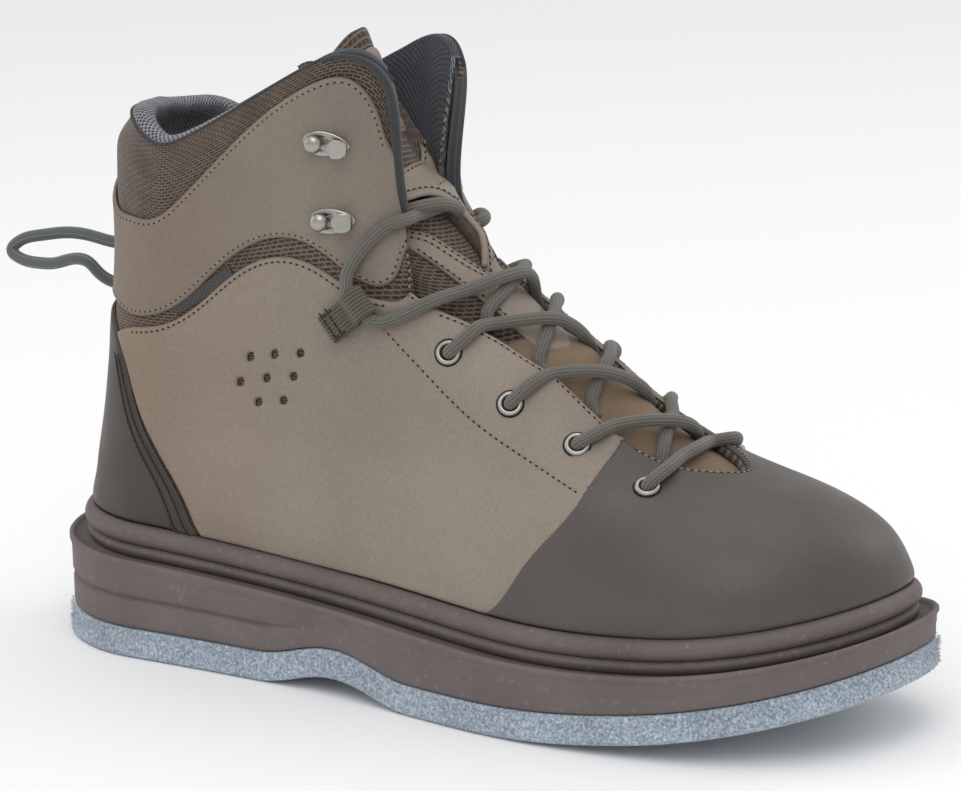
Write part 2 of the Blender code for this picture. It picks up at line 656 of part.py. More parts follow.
def hook_mesh(finish, cutters):
    # An oval plate with a ball rivet and a hook curled back over it
    shape = bmesh.new()
    bmesh.ops.create_cone(shape, cap_ends=True, segments=12, radius1=0.5, radius2=0.46, depth=1.0)
    bmesh.ops.scale(shape, vec=(HOOK_LENGTH, HOOK_WIDTH, HOOK_PLATE), verts=shape.verts)
    bmesh.ops.translate(shape, vec=(0, 0, HOOK_PLATE / 2), verts=shape.verts)
    plate_data = bpy.data.meshes.new("hook_plate")
    shape.to_mesh(plate_data)
    shape.free()
    plate = add_object("hook_plate", plate_data, finish, cutters)
    shape = bmesh.new()
    bmesh.ops.create_uvsphere(shape, u_segments=8, v_segments=6, radius=HOOK_BALL)
    bmesh.ops.scale(shape, vec=(1, 1, 0.75), verts=shape.verts)
    bmesh.ops.translate(shape, vec=(-HOOK_LENGTH * 0.22, 0, HOOK_PLATE), verts=shape.verts)
    ball_data = bpy.data.meshes.new("hook_ball")
    shape.to_mesh(ball_data)
    shape.free()
    ball = add_object("hook_ball", ball_data, finish, cutters)
    cutter_data = bpy.data.meshes.new("hook_level")
    shape = bmesh.new()
    bmesh.ops.create_cube(shape, size=1.0)
    bmesh.ops.scale(shape, vec=(HOOK_LENGTH * 2, HOOK_LENGTH * 2, HOOK_LENGTH), verts=shape.verts)
    bmesh.ops.translate(shape, vec=(0, 0, -HOOK_LENGTH / 2 + HOOK_PLATE / 4), verts=shape.verts)
    shape.to_mesh(cutter_data)
    shape.free()
    level_cutter = add_object("hook_level", cutter_data, None, cutters)
    cut(ball, level_cutter, "DIFFERENCE")
    wire = HOOK_WIRE / 2
    route = [
        (HOOK_LENGTH * 0.34, 0, HOOK_PLATE + wire * 0.6), (HOOK_LENGTH * 0.46, 0, HOOK_PLATE + wire * 1.8),
        (HOOK_LENGTH * 0.34, 0, HOOK_PLATE + wire * 3.6), (HOOK_LENGTH * 0.08, 0, HOOK_PLATE + wire * 3.4),
        (-HOOK_LENGTH * 0.04, 0, HOOK_PLATE + wire * 2.6),
    ]
    curl = curve_mesh("hook_curl", smooth_path(route, 6), wire, 1, finish, cutters)
    union(plate, [ball, curl])
    bpy.context.view_layer.update()
    evaluated = plate.evaluated_get(bpy.context.evaluated_depsgraph_get())
    mesh = bpy.data.meshes.new_from_object(evaluated)
    mesh.name = "lace_hook"
    mesh.materials.clear()
    mesh.materials.append(finish)
    for item in (plate, ball, curl, level_cutter):
        bpy.data.objects.remove(item)
    return mesh


def build_hooks(finishes, parts, cutters):
    mesh = hook_mesh(finishes["steel"], cutters)
    seat = PANEL_GAP + PANEL_THICKNESS + SEAT
    for side, side_name in ((-1, "lateral"), (1, "medial")):
        for number, (level, share) in enumerate(HOOKS, 1):
            hook = bpy.data.objects.new("lace_hook_%s_%d" % (side_name, number), mesh)
            hook.matrix_world = frame_at((level, share), side, seat, (level - 0.15, share + 0.05))
            parts.objects.link(hook)


def strap_mesh(name, profile, width, finish):
    # A strip drawn out across its width from a side profile of length and height
    shape = bmesh.new()
    face = shape.faces.new([shape.verts.new((x, -width / 2, z)) for x, z in profile])
    drawn = bmesh.ops.extrude_face_region(shape, geom=[face])["geom"]
    moved = [item for item in drawn if isinstance(item, bmesh.types.BMVert)]
    bmesh.ops.translate(shape, verts=moved, vec=(0, width, 0))
    bmesh.ops.recalc_face_normals(shape, faces=shape.faces)
    mesh = bpy.data.meshes.new(name)
    shape.to_mesh(mesh)
    shape.free()
    mesh.materials.append(finish)
    return mesh


def build_straps(finishes, parts):
    # The folded webbing that carries the lace: sewn flat at one end, a round eye at the other
    eye = LACE_DIAMETER / 2 + GAP
    outer = eye + WEBBING_THICKNESS
    steps = 8
    # The strip's outer line runs up over the eye, the inner line back round it
    outline = [(-WEBBING_LENGTH, 0.0)]
    outline += [(outer * math.sin(a), outer - outer * math.cos(a)) for a in np.linspace(0, 1.5 * math.pi, steps)]
    outline += [(eye * math.sin(a), outer - eye * math.cos(a)) for a in np.linspace(1.4 * math.pi, 0, steps)]
    outline += [(-outer * 0.9, WEBBING_THICKNESS), (-WEBBING_LENGTH, WEBBING_THICKNESS)]
    mesh = strap_mesh("lace_loop", outline, WEBBING_WIDTH, finishes["webbing"])
    seat = PANEL_GAP + PANEL_THICKNESS
    for side, side_name in ((-1, "lateral"), (1, "medial")):
        loop = bpy.data.objects.new("lace_loop_" + side_name, mesh)
        loop.matrix_world = frame_at(LACE_LOOP, side, seat, LACE_LOOP_HEADING)
        parts.objects.link(loop)
    flat = [(-TAB_LENGTH / 2, 0.0), (TAB_LENGTH / 2, 0.0), (TAB_LENGTH / 2, TAB_THICKNESS), (-TAB_LENGTH / 2, TAB_THICKNESS)]
    tab = bpy.data.objects.new("side_tab", strap_mesh("side_tab", flat, TAB_WIDTH, finishes["webbing"]))
    tab.matrix_world = frame_at(SIDE_TAB, -1, GAP + SEAT, SIDE_TAB_HEADING)
    parts.objects.link(tab)


def build_laces(finishes, parts, cutters):
    radius = LACE_DIAMETER / 2
    clear = radius + GAP + SEAT
    for number in range(len(EYELETS)):
        low_level, low_share = EYELETS[number]
        next_level = EYELETS[number + 1][0] if number + 1 < len(EYELETS) else EYELETS[number][0] + 1.1
        strands = []
        for side in (-1, 1):
            over = LACE_DIAMETER * 0.8 if side < 0 else 0.0
            turn = side * math.pi * low_share
            edge = throat_edge(max(low_level, THROAT_LEVEL + 0.3))
            rim = side * edge
            start = skin(low_level, turn, GAP + PANEL_THICKNESS + EYELET_HEIGHT + SEAT + GAP + radius * 1.6)
            height = GAP + PANEL_THICKNESS + clear + over
            mid_edge = skin(low_level + (next_level - low_level) * 0.30 + 0.1, rim, height)
            middle = tongue_point(low_level + (next_level - low_level) * 0.62 + 0.1, 0.0, clear + over * 1.2 + GAP)
            end = tongue_point(low_level + (next_level - low_level) * 0.88 + 0.1, -side * 0.40, clear + over * 0.4)
            path = smooth_path([start, mid_edge, middle, end], 8)
            name = "lace_crossing_%d" % (number + 1)
            home = parts if side < 0 else cutters
            strands.append(curve_mesh(name if side < 0 else name + "_under", path, radius, 1, finishes["lace"], home))
        union(strands[0], strands[1:])


def build_pull_loop(finishes, parts):
    # Route chosen by hand: out of the heel seam, back round in a teardrop, across itself and in again
    seat = PANEL_GAP + PANEL_THICKNESS + SEAT
    upper_end, lower_end = (form(level, 0.0) - (seat, -side, 0) for level, side in PULL_ENDS)
    route = [
        tuple(upper_end), (-0.0390, 0.0034, 0.1320), (-0.0487, 0.0036, 0.1332), (-0.0590, 0.0030, 0.1334),
        (-0.0690, 0.0015, 0.1317), (-0.0768, -0.0005, 0.1290), (-0.0790, -0.0015, 0.1262), (-0.0752, -0.0025, 0.1238),
        (-0.0675, -0.0032, 0.1230), (-0.0590, -0.0036, 0.1238), (-0.0510, -0.0038, 0.1262), (-0.0450, -0.0036, 0.1256),
        (-0.0418, -0.0026, 0.1222), (-0.0378, -0.0014, 0.1194), tuple(lower_end),
    ]
    curve_mesh("heel_pull_loop", smooth_path(route, 20), PULL_DIAMETER / 2, 2, finishes["pull"], parts)


def main():
    for item in list(bpy.data.objects):
        bpy.data.objects.remove(item, do_unlink=True)
    parts = bpy.data.collections.new("wading_boot")
    cutters = bpy.data.collections.new("cutters")
    bpy.context.scene.collection.children.link(parts)
    bpy.context.scene.collection.children.link(cutters)
    finishes = {
        "felt": material("pressed_felt", (0.145, 0.185, 0.240), 0.95),
        "midsole": material("moulded_foam_rubber", (0.085, 0.068, 0.062), 0.70),
        "rubber": material("rubber_welt", (0.066, 0.052, 0.050), 0.55),
        "insole": material("insole_foam", (0.050, 0.050, 0.055), 0.90),
        "mesh": material("brown_knit_mesh", (0.105, 0.070, 0.050), 0.85),
        "leather": material("taupe_synthetic_leather", (0.235, 0.190, 0.155), 0.55),
        "shaft": material("taupe_shaft_leather", (0.215, 0.178, 0.148), 0.55),
        "toe": material("dark_toe_rubber_leather", (0.080, 0.070, 0.065), 0.50),
        "heel": material("dark_heel_leather", (0.095, 0.075, 0.066), 0.50),
        "lining": material("grey_spacer_lining", (0.090, 0.095, 0.110), 0.90),
        "tongue": material("brown_tongue_mesh", (0.110, 0.085, 0.065), 0.80),
        "webbing": material("olive_webbing", (0.100, 0.095, 0.075), 0.80),
        "lace": material("grey_cord_lace", (0.110, 0.112, 0.120), 0.75),
        "pull": material("grey_cord_pull", (0.090, 0.095, 0.100), 0.75),
        "steel": material("brushed_steel", (0.600, 0.590, 0.570), 0.30, 1.0),
    }
    build_sole(finishes, parts)
    build_welt(finishes, parts)
    build_upper(finishes, parts)
    build_panels(finishes, parts, cutters)
    build_lining(finishes, parts)
    build_tongue(finishes, parts)
    build_eyelets(finishes, parts)
    build_hooks(finishes, parts, cutters)
    build_straps(finishes, parts)
    build_laces(finishes, parts, cutters)
    build_pull_loop(finishes, parts)


main()
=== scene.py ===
import math

import bmesh
import bpy
import numpy as np
from mathutils import Matrix, Vector
from mathutils.geometry import delaunay_2d_cdt


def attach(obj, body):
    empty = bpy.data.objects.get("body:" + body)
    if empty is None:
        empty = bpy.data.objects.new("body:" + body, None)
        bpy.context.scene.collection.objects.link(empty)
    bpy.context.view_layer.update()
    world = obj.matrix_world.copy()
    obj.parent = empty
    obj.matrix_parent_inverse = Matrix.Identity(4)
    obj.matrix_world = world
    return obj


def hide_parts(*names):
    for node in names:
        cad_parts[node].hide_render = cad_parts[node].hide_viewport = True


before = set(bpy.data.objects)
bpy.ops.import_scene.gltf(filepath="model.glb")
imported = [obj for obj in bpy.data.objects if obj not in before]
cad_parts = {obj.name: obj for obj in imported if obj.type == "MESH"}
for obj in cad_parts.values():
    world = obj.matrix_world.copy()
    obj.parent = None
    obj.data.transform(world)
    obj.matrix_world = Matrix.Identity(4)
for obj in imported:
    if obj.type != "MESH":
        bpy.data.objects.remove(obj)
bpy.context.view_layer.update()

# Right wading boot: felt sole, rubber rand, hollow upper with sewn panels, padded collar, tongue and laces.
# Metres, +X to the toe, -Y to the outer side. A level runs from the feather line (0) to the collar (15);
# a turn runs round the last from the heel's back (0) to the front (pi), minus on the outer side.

mm = 0.001
pi = math.pi

# The last and the sole, the same sizes as the solids
soleSizes = {
    "length": 0.320, "heelOverhang": 0.048, "ballWidth": 0.119, "felt": 0.010, "feltFlare": 0.0012,
    "midsoleHeight": 0.025, "lip": 0.0010, "toeSpring": 0.021, "archRise": 0.006,
    "heelRound": 0.045, "toeRound": 0.072, "toeTurn": 0.004,
}
upperSizes = {
    "ledge": 0.006, "weltHeight": 0.0115, "weltThickness": 0.0035, "shaftRise": 0.1335, "flapLean": 0.0085,
    "flapDrop": 0.0040, "collarDrop": 0.0060, "wall": 0.0025,
    "lining": 0.0060, "liningFront": 0.0022, "tongue": 0.0035, "tongueCrown": 0.0120,
    "tongueClearance": 0.0012, "gap": 0.0003,
}
length = soleSizes["length"]
ball = soleSizes["ballWidth"]
rise = upperSizes["shaftRise"]
soleBack = -soleSizes["heelOverhang"]
soleTip = length + soleBack
archStart = soleBack + 0.300 * length
archEnd = soleBack + 0.506 * length
springStart = soleBack + 0.575 * length
inset = upperSizes["ledge"] + upperSizes["weltThickness"] + upperSizes["gap"]
topLevel = 15

# share of the sole's length, outer and inner half width as shares of the ball, midsole height as a share
soleTable = [
    (0.00, 0.380, 0.372, 1.00), (0.15, 0.382, 0.374, 0.94), (0.42, 0.428, 0.345, 0.76),
    (0.66, 0.528, 0.468, 0.58), (0.84, 0.498, 0.440, 0.44), (1.00, 0.498, 0.440, 0.36),
]
# level, back x, back rise, front x, front rise, sole's dip,
# half widths at heel, waist and ball, heel round, toe round
levelTable = [
    (0, -0.118, 0.000, 0.818, 0.000, 1.00, 0.300, 0.310, 0.425, 0.115, 0.200),
    (1, -0.126, 0.000, 0.828, 0.000, 1.00, 0.305, 0.314, 0.431, 0.115, 0.200),
    (2, -0.117, 0.050, 0.818, 0.033, 0.90, 0.310, 0.318, 0.432, 0.115, 0.200),
    (3, -0.112, 0.109, 0.804, 0.101, 0.75, 0.310, 0.318, 0.416, 0.115, 0.204),
    (4, -0.108, 0.169, 0.777, 0.161, 0.55, 0.305, 0.314, 0.388, 0.114, 0.208),
    (5, -0.104, 0.229, 0.732, 0.207, 0.35, 0.298, 0.308, 0.356, 0.112, 0.208),
    (6, -0.101, 0.289, 0.663, 0.248, 0.20, 0.290, 0.300, 0.326, 0.110, 0.206),
    (7, -0.099, 0.348, 0.588, 0.311, 0.10, 0.282, 0.292, 0.304, 0.110, 0.190),
    (8, -0.097, 0.408, 0.516, 0.400, 0.00, 0.276, 0.286, 0.298, 0.110, 0.165),
    (9, -0.095, 0.475, 0.450, 0.506, 0.00, 0.273, 0.282, 0.298, 0.110, 0.146),
    (10, -0.090, 0.558, 0.388, 0.618, 0.00, 0.273, 0.282, 0.298, 0.110, 0.134),
    (11, -0.086, 0.648, 0.336, 0.731, 0.00, 0.277, 0.286, 0.300, 0.110, 0.125),
    (12, -0.084, 0.738, 0.308, 0.835, 0.00, 0.285, 0.294, 0.305, 0.110, 0.118),
    (13, -0.083, 0.835, 0.303, 0.940, 0.00, 0.294, 0.303, 0.312, 0.110, 0.113),
    (14, -0.081, 0.925, 0.312, 1.060, 0.00, 0.300, 0.310, 0.318, 0.110, 0.113),
    (15, -0.080, 0.989, 0.325, 1.158, 0.00, 0.303, 0.314, 0.322, 0.110, 0.113),
]
# share of the collar's length from the back, rise as a share of the shaft's rise
crestTable = [
    (0.00, 0.036), (0.05, 0.038), (0.12, 0.022), (0.19, -0.022), (0.25, -0.058), (0.33, -0.054),
    (0.50, 0.005),
    (0.62, 0.052), (0.715, 0.086), (0.80, 0.106), (0.865, 0.092), (0.915, 0.030), (0.95, -0.050),
    (1.00, -0.087),
]
centreTable = [(-0.15, -0.006), (0.0, -0.006), (0.27, -0.044), (0.56, -0.028), (0.70, -0.018), (0.85, 0.026)]
# level, share of the half turn
throatTable = [
    (6.15, 1.000), (6.32, 0.935), (6.58, 0.898), (7.00, 0.876), (7.60, 0.880), (8.50, 0.885), (9.25, 0.858),
    (9.65, 0.832), (10.0, 0.785), (10.2, 0.768), (10.65, 0.800), (11.45, 0.845), (12.05, 0.868),
    (12.6, 0.870),
    (13.4, 0.858), (14.2, 0.840), (15.0, 0.815),
]
# level, half width as a share of the half turn, push forward, push up, as shares of the ball
tongueTable = [
    (5.55, 0.100, 0.000, 0.000), (6.15, 0.150, 0.000, 0.000), (6.80, 0.185, 0.004, 0.004),
    (7.60, 0.190, 0.018, 0.020), (8.60, 0.195, 0.032, 0.032), (9.60, 0.220, 0.045, 0.032),
    (10.3, 0.290, 0.062, 0.022), (11.2, 0.250, 0.085, 0.008), (12.0, 0.225, 0.062, 0.000),
    (12.8, 0.205, 0.000, 0.000), (13.5, 0.195, -0.080, 0.010), (14.3, 0.200, -0.175, 0.030),
    (15.0, 0.215, -0.260, 0.080),
]


def spline(table, column, at):
    # Smooth curve through one column of a table, read against its first column
    xs = np.array([row[0] for row in table], float)
    ys = np.array([row[column] for row in table], float)
    at = np.clip(np.asarray(at, float), xs[0], xs[-1])
    count = len(xs)
    step = np.diff(xs)
    matrix = np.eye(count)
    bend = np.zeros(count)
    for k in range(1, count - 1):
        matrix[k, k - 1:k + 2] = step[k - 1], 2 * (step[k - 1] + step[k]), step[k]
        bend[k] = 6 * ((ys[k + 1] - ys[k]) / step[k] - (ys[k] - ys[k - 1]) / step[k - 1])
    curve = np.linalg.solve(matrix, bend)
    k = np.clip(np.searchsorted(xs, at, side="right") - 1, 0, count - 2)
    left = xs[k + 1] - at
    right = at - xs[k]
    wide = step[k]
    cubic = (curve[k] * left ** 3 + curve[k + 1] * right ** 3) / (6 * wide)
    straight = (ys[k] / wide - curve[k] * wide / 6) * left
    return cubic + straight + (ys[k + 1] / wide - curve[k + 1] * wide / 6) * right


def unit(vectors):
    return vectors / np.linalg.norm(vectors, axis=-1, keepdims=True)


def gone(points):
    # Distance gone along a run of points, at each of them
    return np.concatenate([[0], np.cumsum(np.linalg.norm(np.diff(points, axis=0), axis=1))])


def ease(value):
    value = np.clip(value, 0, 1)
    return value * value * (3 - 2 * value)


def spring(x):
    return soleSizes["toeSpring"] * np.clip((x - springStart) / (soleTip - springStart), 0, None) ** 2


def arch(x):
    middle = (archStart + archEnd) / 2
    share = np.clip((x - middle) / (archEnd - middle), -1, 1)
    return soleSizes["archRise"] * (1 + np.cos(pi * share)) / 2


def soleShare(x):
    return (x - soleBack) / length


def soleTop(x):
    return spring(x) + soleSizes["felt"] + soleSizes["midsoleHeight"] * spline(soleTable, 3, soleShare(x))


def soleLoop(grow, turn):
    # The sole's plan outline, grown or inset
    share = (1 - np.cos(turn)) / 2
    back = soleBack - grow
    tip = soleTip + grow
    x = back + (tip - back) * share
    outer = ball * spline(soleTable, 1, soleShare(x)) + grow
    inner = ball * spline(soleTable, 2, soleShare(x)) + grow
    heel = np.clip((x - back) / (soleSizes["heelRound"] + grow), 0, 1)
    toe = np.clip((x - tip + soleSizes["toeRound"] + grow) / (soleSizes["toeRound"] + grow), 0, 1)
    fade = np.sqrt(1 - (1 - heel) ** 2) * np.sqrt(1 - toe ** 2)
    middle = soleSizes["toeTurn"] * ease((x - springStart) / (tip - springStart))
    y = np.where(np.sin(turn) < 0, middle - (outer + middle) * fade, middle + (inner - middle) * fade)
    return x, y


def form(level, turn):
    # The upper's outer surface
    level, turn = np.broadcast_arrays(np.asarray(level, float), np.asarray(turn, float))
    back, backRise, front, frontRise, dip, heel, waist, wideBall, heelRound, toeRound = (
        spline(levelTable, column, level) for column in range(1, 11))
    share = (1 - np.cos(turn)) / 2
    xBack = back * length
    xFront = front * length
    x = xBack + (xFront - xBack) * share
    along = x / length
    wide = heel + (waist - heel) * ease(along / 0.266) + (wideBall - waist) * ease((along - 0.266) / 0.297)
    atHeel = np.clip((x - xBack) / (heelRound * length), 0, 1)
    reach = toeRound * length
    atToe = np.clip((x - xFront + reach) / reach, 0, 1)
    fade = np.sqrt(1 - (1 - atHeel) ** 2) * np.sqrt(1 - atToe ** 2)
    middle = ball * spline(centreTable, 1, along) * (1 - ease((level - 3) / 6))
    y = middle + np.sign(np.round(np.sin(turn), 9)) * ball * wide * fade
    inner = np.where(np.sin(turn) > 0, fade, 0) * ease((level - 10) / 5)
    forward = ease((share - 0.3) / 0.5)
    y = y - upperSizes["flapLean"] * inner * forward
    lower = inner * (upperSizes["collarDrop"] + (upperSizes["flapDrop"] - upperSizes["collarDrop"]) * forward)
    xSole, ySole = soleLoop(-inset, turn)
    hold = 1 - ease(level / 3)
    x = x + (xSole - x) * hold
    y = y + (ySole - y) * hold
    floorBack = soleTop(soleBack)
    floorFront = soleTop(soleTip - inset)
    lift = rise * (backRise + (frontRise - backRise) * share)
    straight = floorBack + (floorFront - floorBack) * share
    crest = rise * spline(crestTable, 1, share) * ease((level - 9) / 6)
    z = straight + lift + upperSizes["weltHeight"] * np.clip(level, 0, 1) + dip * (soleTop(x) - straight)
    return np.stack([x, y, z + crest - lower + upperSizes["gap"]], -1)


def outward(level, turn):
    # Unit normals of the form
    small = 1e-3
    level = np.asarray(level, float)
    around = form(level, turn + small) - form(level, turn - small)
    up = form(np.minimum(level + 0.01, topLevel), turn) - form(np.maximum(level - 0.01, 0), turn)
    return unit(np.cross(up, around))


# Soft creases and hollows: level, signed share of the half turn,
# reach in levels, reach in shares, depth in mm
creases = [
    (9.7, -0.70, 0.9, 0.10, -0.8), (10.0, -0.60, 0.5, 0.16, 0.5), (11.0, -0.72, 0.5, 0.09, -0.7),
    (8.3, -0.86, 0.5, 0.05, 0.8), (7.4, -0.85, 0.4, 0.05, -0.5), (6.6, -0.79, 0.4, 0.05, 0.4),
    (5.2, -0.84, 0.9, 0.07, -0.6), (4.6, -0.70, 0.8, 0.06, 0.5), (6.9, -0.30, 1.4, 0.12, -0.8),
    (4.2, -0.40, 1.6, 0.12, 0.7), (3.2, -0.52, 1.2, 0.10, -0.5), (12.6, -0.48, 0.8, 0.12, -0.6),
    (13.4, -0.62, 0.6, 0.10, 0.4), (12.2, -0.30, 0.6, 0.14, 0.5), (9.8, 0.62, 0.7, 0.14, -0.8),
    (11.2, 0.66, 0.6, 0.10, 0.6), (7.2, 0.30, 1.4, 0.12, -0.9), (4.4, 0.42, 1.4, 0.12, 0.6),
    (5.4, 0.80, 0.9, 0.07, -0.5), (8.4, 0.85, 0.5, 0.05, 0.6), (12.8, 0.40, 0.7, 0.12, -0.5),
]


def creaseDepth(level, turn):
    share = (np.asarray(turn) + pi) % (2 * pi) / pi - 1
    depth = 0 * share * level
    for atLevel, atShare, highReach, wideReach, deep in creases:
        away = -((level - atLevel) / highReach) ** 2 - ((share - atShare) / wideReach) ** 2
        depth = depth + deep * mm * np.exp(away)
    return depth


def skin(level, turn, offset):
    # A point at a distance outside or inside the form, with its creases
    level, turn = np.broadcast_arrays(np.asarray(level, float), np.asarray(turn, float))
    reach = np.asarray(offset) + creaseDepth(level, turn)
    return form(level, turn) + outward(level, turn) * reach[..., None]


def throatEdge(level):
    share = np.interp(level, [row[0] for row in throatTable], [row[1] for row in throatTable], left=1.0)
    return pi * share


def tonguePoint(level, share):
    # The tongue's outer face: share from -1 at its outer edge to 1 at its inner edge
    half = pi * spline(tongueTable, 1, level)
    turn = pi - half * np.abs(share)
    side = np.where(np.asarray(share) < 0, -1.0, 1.0)
    front = upperSizes["liningFront"] + upperSizes["tongueClearance"]
    depth = upperSizes["wall"] + upperSizes["tongueClearance"] + front * ease((level - 8.6) / 1.0)
    point = form(level, side * turn) - outward(level, side * turn) * depth[..., None]
    openShare = (pi - throatEdge(level)) / half
    swell = np.clip(1 - (np.abs(share) / np.clip(openShare * 1.05, 0.3, 1.0)) ** 2, 0, 1) ** 1.3
    lean = ease((level - 12.4) / 1.0)
    swell = swell * (1 - lean) + lean
    push = np.stack([spline(tongueTable, 2, level) * swell, 0 * swell, spline(tongueTable, 3, level) * swell],
                    -1)
    crown = upperSizes["tongueCrown"] * ease((level - 13.5) / 1.5) * (1 - 2.3 * np.asarray(share) ** 2)
    return point + ball * push + np.stack([0 * crown, 0 * crown, crown], -1)


def tongueSkin(level, share, offset):
    level, share = np.broadcast_arrays(np.asarray(level, float), np.asarray(share, float))
    across = tonguePoint(level, share + 0.01) - tonguePoint(level, share - 0.01)
    up = tonguePoint(np.minimum(level + 0.02, topLevel), share) - tonguePoint(np.maximum(level - 0.02, 5.55),
                                                                              share)
    normal = unit(np.cross(across, up))
    normal = normal * np.where(normal[..., :1] < 0, -1.0, 1.0)
    return tonguePoint(level, share) + normal * np.asarray(offset)[..., None]


# Camera and lights
studio = {
    "azimuth": 30.47, "elevation": 14.67, "distance": 1.6, "target": (0.112, 0.0, 0.085), "roll": -0.7207,
    "focalPixels": 4803.0, "centre": (486.6, 426.3), "frame": (961, 791), "sensor": 36.0,
}


def setStudio():
    azimuth = math.radians(studio["azimuth"])
    elevation = math.radians(studio["elevation"])
    back = Vector((math.sin(azimuth) * math.cos(elevation), -math.cos(azimuth) * math.cos(elevation),
                   math.sin(elevation)))
    right = Vector((math.cos(azimuth), math.sin(azimuth), 0))
    up = back.cross(right)
    roll = math.radians(studio["roll"])
    turnedRight = right * math.cos(roll) + up * math.sin(roll)
    turnedUp = up * math.cos(roll) - right * math.sin(roll)
    place = Vector(studio["target"]) + back * studio["distance"]
    matrix = Matrix((turnedRight, turnedUp, back)).transposed().to_4x4()
    matrix.translation = place
    lens = bpy.data.cameras.new("photoCamera")
    width, height = studio["frame"]
    lens.sensor_width = studio["sensor"]
    lens.lens = studio["focalPixels"] * studio["sensor"] / width
    lens.shift_x = (width / 2 - studio["centre"][0]) / width
    lens.shift_y = (studio["centre"][1] - height / 2) / width
    camera = bpy.data.objects.new("photoCamera", lens)
    camera.matrix_world = matrix
    bpy.context.scene.collection.objects.link(camera)
    bpy.context.scene.camera = camera
    bpy.context.scene.view_settings.view_transform = "Standard"

    # name, place, aim, width, height, watts
    lamps = [
        ("keyBox", (0.55, -1.05, 1.30), (0.12, 0.0, 0.08), 1.0, 1.0, 6.2),
        ("topBox", (0.10, 0.10, 1.70), (0.12, 0.0, 0.05), 1.8, 1.4, 6.6),
        ("sideBox", (-1.20, -0.60, 0.70), (0.05, 0.0, 0.10), 0.8, 1.0, 2.2),
        ("backBox", (0.90, 1.20, 0.90), (0.12, 0.0, 0.08), 1.0, 0.8, 3.0),
    ]
    for name, place, aim, width, height, watts in lamps:
        light = bpy.data.lights.new(name, "AREA")
        light.shape = "RECTANGLE"
        light.size = width
        light.size_y = height
        light.energy = watts
        lamp = bpy.data.objects.new(name, light)
        lamp.location = place
        lamp.rotation_euler = (Vector(aim) - Vector(place)).to_track_quat("-Z", "Y").to_euler()
        bpy.context.scene.collection.objects.link(lamp)
    world = bpy.data.worlds.new("studioWorld")
    world.use_nodes = True
    world.node_tree.nodes["Background"].inputs["Color"].default_value = (1.0, 1.0, 1.0, 1.0)
    world.node_tree.nodes["Background"].inputs["Strength"].default_value = 0.72
    bpy.context.scene.world = world


setStudio()
print("studio ready")


# Helpers for materials and meshes
def linear(code):
    # An sRGB hex colour as linear values
    values = [int(code[k:k + 2], 16) / 255 for k in (1, 3, 5)]
    return tuple(v / 12.92 if v <= 0.04045 else ((v + 0.055) / 1.055) ** 2.4 for v in values) + (1.0,)


def addNode(owner, kind, settings=None, links=None):
    # A node with its settings and links; owner is a material or a node group
    tree = owner.node_tree if hasattr(owner, "node_tree") else owner
    node = tree.nodes.new(kind if "Node" in kind else "ShaderNode" + kind)
    for key, value in (settings or {}).items():
        if key == "stops":
            ramp = node.color_ramp.elements
            while len(ramp) < len(value):
                ramp.new(0.5)
            for stop, (position, code) in zip(ramp, value):
                stop.position = position
                stop.color = linear(code)
        elif isinstance(key, int) or key in node.inputs:
            node.inputs[key].default_value = value
        else:
            setattr(node, key, value)
    for key, (source, output) in (links or {}).items():
        tree.links.new(source.outputs[output], node.inputs[key])
    return node


def span(fromLow, fromHigh, low, high):
    # What a Map Range node turns into what
    return {"From Min": fromLow, "From Max": fromHigh, "To Min": low, "To Max": high}


def feed(shader, socket, source, output):
    shader.id_data.links.new(source.outputs[output], shader.inputs[socket])


def startMaterial(name, roughness, settings=None):
    material = bpy.data.materials.new(name)
    material.use_nodes = True
    shader = material.node_tree.nodes["Principled BSDF"]
    shader.inputs["Roughness"].default_value = roughness
    for key, value in (settings or {}).items():
        shader.inputs[key].default_value = value
    return material, shader


def shadeBase(material, shader, colour, noise, low, high):
    # The colour between a darker and a lighter shade, in the patches of a noise
    shade = addNode(material, "MapRange", span(0.3, 0.7, low, high), {"Value": (noise, "Fac")})
    shaded = addNode(material, "VectorMath", {"operation": "SCALE"},
                     {0: colour, "Scale": (shade, "Result")})
    feed(shader, "Base Color", shaded, "Vector")


